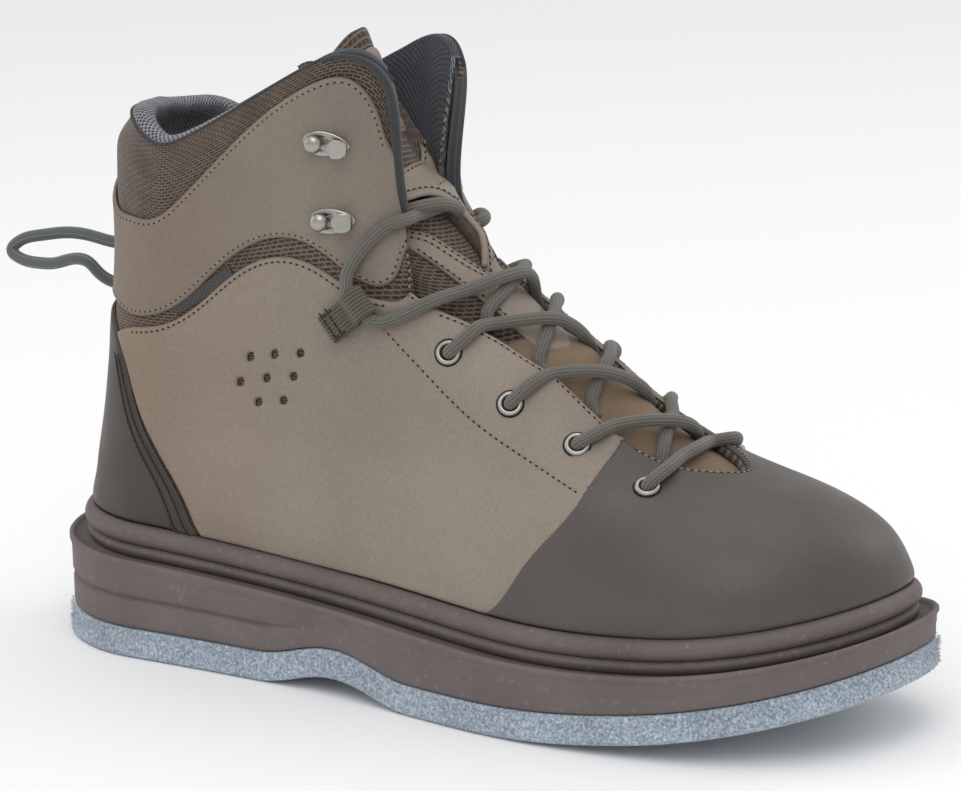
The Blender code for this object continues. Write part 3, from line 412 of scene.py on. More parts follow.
def leather(name, dark, light, heelShadeColour, roughness, grain=0.00004):
    # Smooth coated synthetic leather: a fine pebble under an even film, low sheen
    material, shader = startMaterial(name, roughness,
                                     {"IOR": 1.46, "Coat Weight": 0.06, "Coat Roughness": 0.45})
    place = {"Vector": (addNode(material, "TexCoord"), "Object")}
    cloud = addNode(material, "TexNoise", {"Scale": 14.0, "Detail": 3.0}, place)
    tones = addNode(material, "ValToRGB", {"stops": [(0.32, dark), (0.70, light)]}, {"Fac": (cloud, "Fac")})
    # The tone turns darker and warmer towards the heel: painted shade for the back, turned away from the
    # light
    split = addNode(material, "SeparateXYZ", links=place)
    heelShadeMask = addNode(material, "MapRange", span(0.06, -0.04, 0.0, 0.75), {"Value": (split, "X")})
    mixed = addNode(material, "Mix", {"data_type": "RGBA", 7: linear(heelShadeColour)},
                    {0: (heelShadeMask, "Result"), 6: (tones, "Color")})
    fine = addNode(material, "TexNoise", {"Scale": 900.0, "Detail": 2.0}, place)
    shadeBase(material, shader, (mixed, 2), fine, 0.90, 1.06)
    # Pebbles about 0.9 mm across
    pebbles = addNode(material, "TexVoronoi", {"Scale": 1100.0, "feature": "SMOOTH_F1"}, place)
    first = addNode(material, "Bump", {"Strength": 0.8, "Distance": grain},
                    {"Height": (pebbles, "Distance")})
    wave = addNode(material, "TexNoise", {"Scale": 60.0, "Detail": 4.0}, place)
    surface = addNode(material, "Bump", {"Strength": 0.5, "Distance": 0.00035},
                    {"Height": (wave, "Fac"), "Normal": (first, "Normal")})
    feed(shader, "Normal", surface, "Normal")
    gloss = addNode(material, "MapRange",
                    span(0.3, 0.7, roughness - 0.06, roughness + 0.08), {"Value": (wave, "Fac")})
    feed(shader, "Roughness", gloss, "Result")
    return material


def dashKnit(name, dash, ground, thread, row=0.74, dashLength=2.7, turned=0.0):
    # Jacquard knit: rows of short sunk dark dashes between raised brown threads; the map is in mm
    material, shader = startMaterial(name, 0.85, {"Sheen Weight": 0.15, "Sheen Roughness": 0.6})
    flat = {"Vector": (addNode(material, "UVMap", {"uv_map": "flat"}), "UV")}
    turn = addNode(material, "Mapping", {"Rotation": (0.0, 0.0, turned)}, flat)
    sway = addNode(material, "TexNoise", {"Scale": 0.35, "Detail": 1.0}, {"Vector": (turn, "Vector")})
    push = addNode(material, "VectorMath", {"operation": "MULTIPLY_ADD", 1: (0.5, 0.35, 0.0)},
                   {0: (sway, "Color"), 2: (turn, "Vector")})
    brick = addNode(material, "TexBrick", {
        "Scale": 1.0, "Brick Width": dashLength, "Row Height": row, "Mortar Size": row * 0.24,
        "Mortar Smooth": 0.6, "Bias": -0.2, "offset": 0.5,
        "Color1": linear(dash), "Color2": linear(ground), "Mortar": linear(thread),
    }, {"Vector": (push, "Vector")})
    cloud = addNode(material, "TexNoise", {"Scale": 0.09, "Detail": 2.0}, flat)
    shadeBase(material, shader, (brick, "Color"), cloud, 0.75, 1.2)
    yarn = addNode(material, "TexNoise", {"Scale": 6.0, "Detail": 2.0}, flat)
    first = addNode(material, "Bump", {"Strength": 1.0, "Distance": 0.00022}, {"Height": (brick, "Fac")})
    surface = addNode(material, "Bump", {"Strength": 0.5, "Distance": 0.00010},
                    {"Height": (yarn, "Fac"), "Normal": (first, "Normal")})
    feed(shader, "Normal", surface, "Normal")
    return material


def spacerMesh(name, hole, thread, pitch=1.25, turned=0.785):
    # Knitted spacer mesh: a grid of small dark holes between pale threads; the map is in mm
    material, shader = startMaterial(name, 0.88, {"Sheen Weight": 0.12, "Sheen Roughness": 0.6})
    flat = {"Vector": (addNode(material, "UVMap", {"uv_map": "flat"}), "UV")}
    turn = addNode(material, "Mapping",
                   {"Rotation": (0.0, 0.0, turned), "Scale": (1.0 / pitch, 1.0 / pitch, 1.0)}, flat)
    cells = addNode(material, "TexVoronoi", {"Scale": 1.0, "Randomness": 0.12, "voronoi_dimensions": "2D"},
                    {"Vector": (turn, "Vector")})
    tones = addNode(material, "ValToRGB", {"stops": [(0.26, hole), (0.50, thread)]},
                    {"Fac": (cells, "Distance")})
    cloud = addNode(material, "TexNoise", {"Scale": 0.25, "Detail": 2.0}, flat)
    shadeBase(material, shader, (tones, "Color"), cloud, 0.8, 1.15)
    surface = addNode(material, "Bump", {"Strength": 1.0, "Distance": 0.0003},
                    {"Height": (cells, "Distance")})
    feed(shader, "Normal", surface, "Normal")
    return material


def pressedFelt(name):
    # Needled felt: blue-grey fibres with pale and dark ones mixed in, matt and fuzzy
    material, shader = startMaterial(name, 0.95, {"Sheen Weight": 0.25, "Sheen Roughness": 0.8})
    place = {"Vector": (addNode(material, "TexCoord"), "Object")}
    fibres = addNode(material, "TexNoise", {"Scale": 1000.0, "Detail": 4.0, "Roughness": 0.7}, place)
    tones = addNode(material, "ValToRGB", {"stops": [(0.36, "#6a7b8d"), (0.66, "#ccd4dc")]},
                    {"Fac": (fibres, "Fac")})
    middle = tones.color_ramp.elements.new(0.5)
    middle.color = linear("#97a5b4")
    cloud = addNode(material, "TexNoise", {"Scale": 45.0, "Detail": 3.0}, place)
    shadeBase(material, shader, (tones, "Color"), cloud, 0.85, 1.12)
    surface = addNode(material, "Bump", {"Strength": 0.9, "Distance": 0.0007}, {"Height": (fibres, "Fac")})
    feed(shader, "Normal", surface, "Normal")
    return material


def mouldedRubber(name, dark, light, roughness, speck=0.00008):
    # Moulded foam rubber: matt, with a fine mould texture and faint dusty scuffs
    material, shader = startMaterial(name, roughness, {"IOR": 1.5})
    place = {"Vector": (addNode(material, "TexCoord"), "Object")}
    cloud = addNode(material, "TexNoise", {"Scale": 30.0, "Detail": 5.0, "Roughness": 0.6}, place)
    tones = addNode(material, "ValToRGB", {"stops": [(0.30, dark), (0.72, light)]}, {"Fac": (cloud, "Fac")})
    dust = addNode(material, "TexNoise", {"Scale": 420.0, "Detail": 3.0}, place)
    grains = addNode(material, "MapRange", span(0.60, 0.74, 0.0, 0.35), {"Value": (dust, "Fac")})
    mixed = addNode(material, "Mix", {"data_type": "RGBA", 7: linear("#8f8379")},
                    {0: (grains, "Result"), 6: (tones, "Color")})
    feed(shader, "Base Color", mixed, 2)
    first = addNode(material, "Bump", {"Strength": 0.7, "Distance": speck}, {"Height": (dust, "Fac")})
    surface = addNode(material, "Bump", {"Strength": 0.4, "Distance": 0.0004},
                    {"Height": (cloud, "Fac"), "Normal": (first, "Normal")})
    feed(shader, "Normal", surface, "Normal")
    return material


def braidedCord(name, dark, light, tracer, around, stripes=3):
    # Round braid: fine slanted plaits crossing round the cord, with pale tracers along it; the map is in mm
    material, shader = startMaterial(name, 0.72, {"Sheen Weight": 0.2, "Sheen Roughness": 0.5})
    flat = {"Vector": (addNode(material, "UVMap", {"uv_map": "flat"}), "UV")}
    plaits = []
    for lean in (1.0, -1.0):
        turned = addNode(material, "Mapping", {"Rotation": (0.0, 0.0, lean * 0.62)}, flat)
        plaits.append(addNode(material, "TexWave", {"Scale": 0.42, "Distortion": 0.6, "Detail": 1.0},
                              {"Vector": (turned, "Vector")}))
    both = addNode(material, "Math", {"operation": "MAXIMUM"},
                   {0: (plaits[0], "Fac"), 1: (plaits[1], "Fac")})
    tones = addNode(material, "ValToRGB", {"stops": [(0.30, dark), (0.95, light)]},
                    {"Fac": (both, "Value")})
    split = addNode(material, "SeparateXYZ", links=flat)
    lines = addNode(material, "Math", {"operation": "MULTIPLY", 1: stripes / around}, {0: (split, "X")})
    part = addNode(material, "Math", {"operation": "PINGPONG", 1: 0.5}, {0: (lines, "Value")})
    thin = addNode(material, "MapRange", span(0.085, 0.05, 0.0, 0.85), {"Value": (part, "Value")})
    mixed = addNode(material, "Mix", {"data_type": "RGBA", 7: linear(tracer)},
                    {0: (thin, "Result"), 6: (tones, "Color")})
    feed(shader, "Base Color", mixed, 2)
    surface = addNode(material, "Bump", {"Strength": 1.0, "Distance": 0.00022}, {"Height": (both, "Value")})
    feed(shader, "Normal", surface, "Normal")
    return material


def ribbedWebbing(name, dark, light):
    # Woven tape: ribs along the tape with a fine cross thread; the map is in mm
    material, shader = startMaterial(name, 0.82, {"Sheen Weight": 0.15})
    flat = {"Vector": (addNode(material, "UVMap", {"uv_map": "flat"}), "UV")}
    ribs = addNode(material, "TexWave", {"Scale": 0.26, "bands_direction": "X"}, flat)
    picks = addNode(material, "TexWave", {"Scale": 0.45, "bands_direction": "Y", "Distortion": 0.4}, flat)
    both = addNode(material, "Math", {"operation": "MULTIPLY"}, {0: (ribs, "Fac"), 1: (picks, "Fac")})
    tones = addNode(material, "ValToRGB", {"stops": [(0.05, dark), (0.75, light)]},
                    {"Fac": (both, "Value")})
    feed(shader, "Base Color", tones, "Color")
    surface = addNode(material, "Bump", {"Strength": 1.0, "Distance": 0.0003}, {"Height": (both, "Value")})
    feed(shader, "Normal", surface, "Normal")
    return material


def satinSteel(name):
    # Nickel-plated steel, tumbled satin: small uneven gloss
    material, shader = startMaterial(name, 0.28, {"Metallic": 1.0, "Base Color": linear("#a5a29d")})
    place = {"Vector": (addNode(material, "TexCoord"), "Object")}
    haze = addNode(material, "TexNoise", {"Scale": 500.0, "Detail": 3.0}, place)
    gloss = addNode(material, "MapRange", span(0.3, 0.7, 0.24, 0.42), {"Value": (haze, "Fac")})
    feed(shader, "Roughness", gloss, "Result")
    surface = addNode(material, "Bump", {"Strength": 0.6, "Distance": 0.00003}, {"Height": (haze, "Fac")})
    feed(shader, "Normal", surface, "Normal")
    return material


def plain(name, code, roughness, bumpScale=800.0, depth=0.00005):
    # Thread, raw edges, dark insides and painted shade
    material, shader = startMaterial(name, roughness)
    place = {"Vector": (addNode(material, "TexCoord"), "Object")}
    fuzz = addNode(material, "TexNoise", {"Scale": bumpScale, "Detail": 2.0}, place)
    lift = addNode(material, "MapRange", span(0.3, 0.7, 0.75, 1.2), {"Value": (fuzz, "Fac")})
    shaded = addNode(material, "VectorMath", {"operation": "SCALE", 0: linear(code)[:3]},
                     {"Scale": (lift, "Result")})
    feed(shader, "Base Color", shaded, "Vector")
    surface = addNode(material, "Bump", {"Strength": 0.7, "Distance": depth}, {"Height": (fuzz, "Fac")})
    feed(shader, "Normal", surface, "Normal")
    return material


finishes = {
    # The fourth colour of each leather is its painted shade towards the heel
    "taupe": leather("coatedTaupeLeather", "#80756a", "#8e8276", "#836b57", 0.52),
    # The shaft's leather is the quarter's taupe made about 12% darker: painted shade for the shaft turned
    # away from the light
    "shaft": leather("paintedShadeTaupeLeather", "#746a60", "#81766a", "#766150", 0.52),
    "nubuck": leather("slantGrainNubuck", "#75624f", "#8a7560", "#7d6851", 0.80, 0.00012),
    "toe": leather("rubberisedToeLeather", "#47413d", "#524c48", "#4e4741", 0.46, 0.00003),
    "heel": leather("darkBrownHeelLeather", "#3d342e", "#483d35", "#40362e", 0.50, 0.00003),
    "strip": leather("blackBrownSeamStrip", "#352e2a", "#3f3732", "#3a322d", 0.55, 0.00003),
    "edge": plain("rawLeatherEdge", "#5c5148", 0.7),
    "knit": dashKnit("brownDashKnit", "#271b13", "#3f3127", "#705e4e", 1.15, 2.6),
    "lining": spacerMesh("greySpacerMesh", "#1d1f25", "#8a8a90"),
    "flapMesh": spacerMesh("blueGreySpacerMesh", "#0f1116", "#454851", 1.3),
    "felt": pressedFelt("needledFelt"),
    "midsole": mouldedRubber("mouldedFoamRubber", "#5d5452", "#6c6260", 0.66),
    "rand": mouldedRubber("mouldedRandRubber", "#584e4c", "#675d5a", 0.58, 0.00004),
    "insole": plain("insoleCloth", "#3c3c40", 0.9, 1500.0, 0.0002),
    "inside": plain("innerLiningCloth", "#2b2a2c", 0.9, 1200.0, 0.0002),
    "thread": plain("tanThread", "#8f7d68", 0.65),
    "darkThread": plain("darkThread", "#2a2422", 0.7),
    # Dark marks between the stitches: painted shade of the needle holes
    "needleHoleShade": plain("needleHoles", "#241e1a", 0.9),
    "piping": plain("darkKnitPiping", "#35363a", 0.8, 1500.0, 0.0002),
    "lace": braidedCord("greyBraidedLace", "#3b3834", "#65615a", "#8b867b", 4.4 * pi, 12),
    "pull": braidedCord("greyBraidedPullCord", "#34383a", "#606668", "#7d8384", 4.2 * pi, 4),
    "binding": braidedCord("greyBraidedBinding", "#101114", "#3b3d40", "#484a4e", 9.0, 1),
    "webbing": ribbedWebbing("oliveWovenTape", "#3c382e", "#777060"),
    "tabCloth": ribbedWebbing("greyWovenTab", "#343230", "#575450"),
    "steel": satinSteel("satinNickelSteel"),
    # Near-black for painted shade under the eyelets
    "paintedShade": plain("paintedShadeDark", "#141210", 0.95),
}


def linked(name, data):
    result = bpy.data.objects.new(name, data)
    bpy.context.scene.collection.objects.link(result)
    return result


def meshObject(name, vertices, faces, materials, uv=None, faceMaterial=None):
    mesh = bpy.data.meshes.new(name)
    mesh.from_pydata([tuple(v) for v in vertices], [], [tuple(f) for f in faces])
    for finish in materials:
        mesh.materials.append(finishes[finish])
    if faceMaterial is not None:
        mesh.polygons.foreach_set("material_index", np.asarray(faceMaterial, np.int32))
    if uv is not None:
        layer = mesh.uv_layers.new(name="flat")
        loops = np.empty(len(mesh.loops), np.int32)
        mesh.loops.foreach_get("vertex_index", loops)
        layer.data.foreach_set("uv", np.asarray(uv, np.float32)[loops].ravel())
    mesh.shade_smooth()
    mesh.update()
    return linked(name, mesh)


def settle(piece, slot, *nodes):
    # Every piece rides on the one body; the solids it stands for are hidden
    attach(piece, "root")
    if nodes:
        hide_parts(*nodes)


def through(points, spacing, surface):
    # A smooth line through listed pairs on a surface, a point about every spacing
    points = np.asarray(points, float)
    space = surface(points[:, 0], points[:, 1], 0.0)
    far = gone(space)
    at = np.linspace(0, far[-1], max(2, int(round(far[-1] / spacing)) + 1))
    if len(points) < 3:
        return np.stack([np.interp(at, far, points[:, k]) for k in (0, 1)], -1)
    return np.stack([spline(list(zip(far, points[:, k])), 1, at) for k in (0, 1)], -1)


def beside(line, distance, surface, closed=False):
    # The line moved sideways on its surface, to its left as seen from outside
    a, b = line[:, 0], line[:, 1]
    small = 1e-3
    here = surface(a, b, 0.0)
    alongA = (surface(a + small, b, 0.0) - here) / small
    alongB = (surface(a, b + small, 0.0) - here) / small
    normal = surface(a, b, 1e-3) - here
    if closed:
        tangent = np.roll(here, -1, 0) - np.roll(here, 1, 0)
    else:
        tangent = np.gradient(here, axis=0)
    side = np.cross(normal, tangent)
    side = side / np.maximum(np.linalg.norm(side, axis=1, keepdims=True), 1e-12) * distance
    moved = []
    for k in range(len(line)):
        jacobian = np.stack([alongA[k], alongB[k]], 1)
        moved.append(line[k] + np.linalg.lstsq(jacobian, side[k], rcond=None)[0])
    return np.array(moved)


def insideLoop(points, loop):
    # Even-odd test of points against a closed loop
    x, y = points[:, 0][:, None], points[:, 1][:, None]
    x1, y1 = loop[:, 0][None], loop[:, 1][None]
    x2, y2 = np.roll(loop[:, 0], -1)[None], np.roll(loop[:, 1], -1)[None]
    crosses = ((y1 > y) != (y2 > y)) & (x < (x2 - x1) * (y - y1) / np.where(y2 == y1, 1e-12, y2 - y1) + x1)
    return crosses.sum(1) % 2 == 1


def distanceTo(points, loops):
    # Distance of 3-D points to the nearest closed loop of 3-D points
    best = np.full(len(points), 1.0)
    for loop in loops:
        start = loop
        run = np.roll(loop, -1, 0) - loop
        long = np.maximum((run ** 2).sum(1), 1e-14)
        for low in range(0, len(points), 2000):
            block = points[low:low + 2000]
            share = np.clip(((block[:, None] - start[None]) * run[None]).sum(2) / long[None], 0, 1)
            near = start[None] + share[..., None] * run[None]
            away = np.sqrt(((block[:, None] - near) ** 2).sum(2)).min(1)
            best[low:low + 2000] = np.minimum(best[low:low + 2000], away)
    return best


# mm a level and mm a radian of turn, for even triangles on the toe, the sides, the shaft and the tab
patchScale = (11.0, 60.0)
sideScale = (11.0, 70.0)
shaftScale = (11.0, 48.0)
tabScale = (11.0, 50.0)
bothSides = ((-1, "Lateral"), (1, "Medial"))


def patch(name, surface, outline, sizes, materials, holes=(), scale=patchScale, dome=None):
    # A sewn panel: a closed skin with rolled edges laid on a surface inside an outline
    base, thick, roll, spacing = (sizes[key] for key in ("base", "thick", "roll", "spacing"))
    factor = np.array(scale)
    outline = np.asarray(outline)
    loops = [outline] + [np.asarray(hole) for hole in holes]
    flatLoops = [loop * factor for loop in loops]
    area = 0.5 * np.sum(flatLoops[0][:, 0] * np.roll(flatLoops[0][:, 1], -1)
                        - np.roll(flatLoops[0][:, 0], -1) * flatLoops[0][:, 1])
    points = []
    edges = []
    for loop in flatLoops:
        first = len(points)
        points += [tuple(p) for p in loop]
        edges += [(first + k, first + (k + 1) % len(loop)) for k in range(len(loop))]
    probe = beside(outline, 0.0005, surface, True) * factor
    inward = 1.0 if insideLoop(probe, flatLoops[0]).mean() > 0.5 else -1.0
    for share in (0.25, 0.6, 1.0):
        ring = beside(outline, inward * roll * share, surface, True) * factor
        keep = insideLoop(ring, flatLoops[0])
        points += [tuple(p) for p in ring[keep]]
        for hole in loops[1:]:
            ringed = beside(hole, roll * share * 0.6, surface, True) * factor
            if insideLoop(ringed, hole * factor).mean() > 0.5:
                ringed = beside(hole, -roll * share * 0.6, surface, True) * factor
            points += [tuple(p) for p in ringed]
    low, high = flatLoops[0].min(0), flatLoops[0].max(0)
    step = spacing / mm
    gridA, gridB = np.meshgrid(np.arange(low[0], high[0], step * 0.87), np.arange(low[1], high[1], step))
    gridB = gridB + (np.arange(gridA.shape[1]) % 2)[None] * step / 2
    inner = np.stack([gridA.ravel(), gridB.ravel()], -1)
    inner = inner[insideLoop(inner, flatLoops[0])]
    space = surface(inner[:, 0] / factor[0], inner[:, 1] / factor[1], 0.0)
    loops3d = [surface(loop[:, 0], loop[:, 1], 0.0) for loop in loops]
    inner = inner[distanceTo(space, loops3d) > roll * 1.35]
    for hole in flatLoops[1:]:
        inner = inner[~insideLoop(inner, hole)]
    points += [tuple(p) for p in inner]
    found = delaunay_2d_cdt([Vector(p) for p in points], edges, [], 0, 1e-6)
    plan = np.array([tuple(v) for v in found[0]])
    triangles = np.array([f for f in found[2] if len(f) == 3])
    middle = plan[triangles].mean(1)
    keep = insideLoop(middle, flatLoops[0])
    for hole in flatLoops[1:]:
        keep &= ~insideLoop(middle, hole)
    triangles = triangles[keep]
    used = np.unique(triangles)
    renumber = -np.ones(len(plan), int)
    renumber[used] = np.arange(len(used))
    plan = plan[used]
    triangles = renumber[triangles]
    a, b = plan[:, 0] / factor[0], plan[:, 1] / factor[1]
    ground = surface(a, b, 0.0)
    depth = distanceTo(ground, loops3d)
    rounded = np.sqrt(1 - (1 - np.clip(depth / roll, 0, 1)) ** 2)
    height = base + thick * (0.22 + 0.78 * rounded)
    if dome is not None:
        height = height + dome(a, b, depth)
    top = surface(a, b, height)
    bottom = surface(a, b, base)
    normal = surface(a, b, 1e-3) - ground
    corner = top[triangles]
    facing = np.cross(corner[:, 1] - corner[:, 0], corner[:, 2] - corner[:, 0])
    if (facing * normal[triangles[:, 0]]).sum() < 0:
        triangles = triangles[:, ::-1]
    count = len(top)
    seen = {}
    for triangle in triangles:
        for k in range(3):
            seen[(triangle[k], triangle[(k + 1) % 3])] = True
    rim = [(i, j) for i, j in seen if (j, i) not in seen]
    faces = [tuple(t) for t in triangles] + [tuple(t[::-1] + count) for t in triangles]
    faces += [(j, i, i + count, j + count) for i, j in rim]
    kinds = [0] * len(triangles) + [1] * (len(triangles) + len(rim))
    plane = np.stack([b * patchScale[1], a * patchScale[0]], -1)
    return meshObject(name, np.concatenate([top, bottom]), faces, materials, np.concatenate([plane, plane]),
                      kinds)


def sweep(name, path, section, materials, outwards=None, scales=None):
    # A bar of a closed section drawn along a path; the section is pairs of across and out
    path = np.asarray(path, float)
    section = np.asarray(section, float)
    count, sides = len(path), len(section)
    tangent = unit(np.gradient(path, axis=0))
    if outwards is None:
        guide = np.array([0.0, 0.0, 1.0]) if abs(tangent[0][2]) < 0.9 else np.array([1.0, 0.0, 0.0])
        frames = []
        for t in tangent:
            guide = guide - t * guide.dot(t)
            guide = guide / np.linalg.norm(guide)
            frames.append(guide)
        out = np.array(frames)
    else:
        out = unit(outwards - tangent * (outwards * tangent).sum(1, keepdims=True))
    across = np.cross(out, tangent)
    scales = np.ones(count) if scales is None else np.asarray(scales)
    rings = path[:, None] + scales[:, None, None] * (
        across[:, None] * section[None, :, :1] + out[:, None] * section[None, :, 1:])
    far = gone(path) / mm
    girth = np.concatenate([[0], np.cumsum(np.linalg.norm(np.roll(section, -1, 0) - section, axis=1))]) / mm
    # The seam's points are doubled so that the map closes without a jump
    ring = np.concatenate([rings, rings[:, :1]], 1)
    vertices = ring.reshape(-1, 3)
    uv = np.stack(np.broadcast_arrays(girth[None, :], far[:, None]), -1).reshape(-1, 2)
    wide = sides + 1
    faces = []
    for r in range(count - 1):
        s = r + 1
        faces += [(r * wide + c, r * wide + c + 1, s * wide + c + 1, s * wide + c) for c in range(sides)]
    faces += [tuple(range(sides - 1, -1, -1)), tuple((count - 1) * wide + c for c in range(sides))]
    result = meshObject(name, vertices, faces, materials, uv)
    weld(result)
    return result


def weld(target, distance=1e-6):
    shape = bmesh.new()
    shape.from_mesh(target.data)
    bmesh.ops.remove_doubles(shape, verts=shape.verts, dist=distance)
    bmesh.ops.dissolve_degenerate(shape, edges=shape.edges, dist=1e-8)
    bmesh.ops.recalc_face_normals(shape, faces=shape.faces)
    shape.to_mesh(target.data)
    shape.free()
    target.data.shade_smooth()


def circle(radius, sides):
    return [(radius * math.cos(k * 2 * pi / sides), radius * math.sin(k * 2 * pi / sides))
            for k in range(sides)]


def blunt(value, power):
    # Squares off a round section while its sign stays
    return math.copysign(abs(value) ** power, value)


def smoothPath(points, spacing=0.0012):
    points = np.asarray(points, float)
    far = gone(points)
    at = np.linspace(0, far[-1], int(far[-1] / spacing) + 2)
    return np.stack([spline(list(zip(far, points[:, k])), 1, at) for k in range(3)], -1)


print("helpers and finishes ready")


def loft(name, rows, materials, uv=None, ring=False, tube=False, caps=False, kinds=None):
    # Quads between rows of points; ring closes each row, tube joins the last row to the first
    rows = np.asarray(rows, float)
    count, width = rows.shape[:2]
    faces = []
    for r in range(count if tube else count - 1):
        s = (r + 1) % count
        for c in range(width if ring else width - 1):
            d = (c + 1) % width
            faces.append((r * width + c, r * width + d, s * width + d, s * width + c))
    if caps:
        faces.append([r * width for r in range(count)])
        faces.append([r * width + width - 1 for r in range(count - 1, -1, -1)])
    flat = None if uv is None else np.asarray(uv, float).reshape(-1, 2)
    result = meshObject(name, rows.reshape(-1, 3), faces, materials, flat, kinds)
    weld(result)
    return result


def shell(name, outer, inner, materials, uv):
    # A wall between an outer and an inner sheet, open where its two ends stand apart
    outer = np.asarray(outer, float)
    inner = np.asarray(inner, float)
    count, width = outer.shape[:2]
    total = count * width
    faces = []
    kinds = []
    for r in range(count - 1):
        for c in range(width - 1):
            corners = (r * width + c, r * width + c + 1, (r + 1) * width + c + 1, (r + 1) * width + c)
            faces.append(corners)
            faces.append(tuple(k + total for k in corners[::-1]))
            kinds += [0, 1]
    for r, flip in ((0, False), (count - 1, True)):
        for c in range(width - 1):
            a, b = r * width + c, r * width + c + 1
            faces.append((a, b, b + total, a + total) if flip else (b, a, a + total, b + total))
            kinds.append(0)
    for r in range(count - 1):
        apart = max(np.linalg.norm(outer[k, 0] - outer[k, -1]) for k in (r, r + 1))
        if apart < 1e-5:
            continue
        for c, flip in ((0, True), (width - 1, False)):
            a, b = r * width + c, (r + 1) * width + c
            faces.append((a, b, b + total, a + total) if flip else (b, a, a + total, b + total))
            kinds.append(0)
    flat = np.concatenate([np.asarray(uv).reshape(-1, 2)] * 2)
    result = meshObject(name, np.concatenate([outer.reshape(-1, 3), inner.reshape(-1, 3)]), faces, materials,
                        flat, kinds)
    weld(result)
    return result


def columns(edge, side=56, front=44):
    # Turns from one edge round the heel to the other
    half = np.concatenate([np.linspace(0, 0.70 * pi, side + 1), np.linspace(0.70 * pi, edge, front + 1)[1:]])
    return np.concatenate([-half[:0:-1], half])


aroundTurns = np.linspace(-1.1 * pi, 1.1 * pi, 400)
aroundLength = gone(form(np.full(len(aroundTurns), 12.0), aroundTurns)) / mm
clothRise = 12.6  # mm of cloth a level


def clothMap(level, turn):
    # Flat coordinates in mm for cloth: along the collar and up the shaft
    return np.stack([np.interp(turn, aroundTurns, aroundLength), np.asarray(level) * clothRise], -1)


# The heel's pull loop: a free cord from the heel seam and back
pullLoop = {"diameter": 0.0042, "ends": [(10.85, 0.0030), (9.75, -0.0008)], "seat": 0.0022, "sides": 14}


def makePullLoop():
    upperEnd, lowerEnd = (form(level, 0.0) - (pullLoop["seat"], -side, 0) for level, side in pullLoop["ends"])
    # Route given point by point: out of the heel seam, back round in a teardrop, across itself and in again
    route = [
        tuple(upperEnd), (-0.0390, 0.0034, 0.1320), (-0.0487, 0.0036, 0.1332), (-0.0590, 0.0030, 0.1334),
        (-0.0690, 0.0015, 0.1317), (-0.0768, -0.0005, 0.1290), (-0.0790, -0.0015, 0.1262),
        (-0.0752, -0.0025, 0.1238),
        (-0.0675, -0.0032, 0.1230), (-0.0590, -0.0036, 0.1238), (-0.0510, -0.0038, 0.1262),
        (-0.0450, -0.0036, 0.1256),
        (-0.0418, -0.0026, 0.1222), (-0.0378, -0.0014, 0.1194), tuple(lowerEnd),
    ]
    path = smoothPath(route, 0.0010)
    cord = sweep("heelPullLoop", path, circle(pullLoop["diameter"] / 2, pullLoop["sides"]), ["pull"])
    settle(cord, "lace_cord", "heel_pull_loop")


makePullLoop()
print("pull loop ready")


# Sole: pressed felt pad, moulded midsole with a lip and a groove, welt and insole
def soleBody(name, sections, materials, turns=150):
    half = np.linspace(0, pi, turns)
    ring = np.concatenate([half, -half[-2:0:-1]])
    count = len(ring)
    rows = []
    for grow, height in sections:
        x0, y0 = soleLoop(0.0, ring)
        wide = grow(x0) if callable(grow) else grow + 0 * x0
        x, y = soleLoop(wide, ring)
        rows.append(np.stack([x, y, height(x)], -1))
    vertices = np.concatenate(rows)
    faces = []
    for r in range(len(rows) - 1):
        faces += [(r * count + c, r * count + (c + 1) % count, (r + 1) * count + (c + 1) % count,
                   (r + 1) * count + c) for c in range(count)]
    for r, flip in ((0, True), (len(rows) - 1, False)):
        for c in range(turns - 1):
            corners = [c, c + 1, (count - c - 1) % count, (count - c) % count]
            corners = [r * count + k for k in dict.fromkeys(corners)]
            if len(corners) > 2:
                faces.append(corners[::-1] if flip else corners)
    result = meshObject(name, vertices, faces, materials)
    weld(result)
    return result


def ground(x):
    return spring(x) + arch(x)


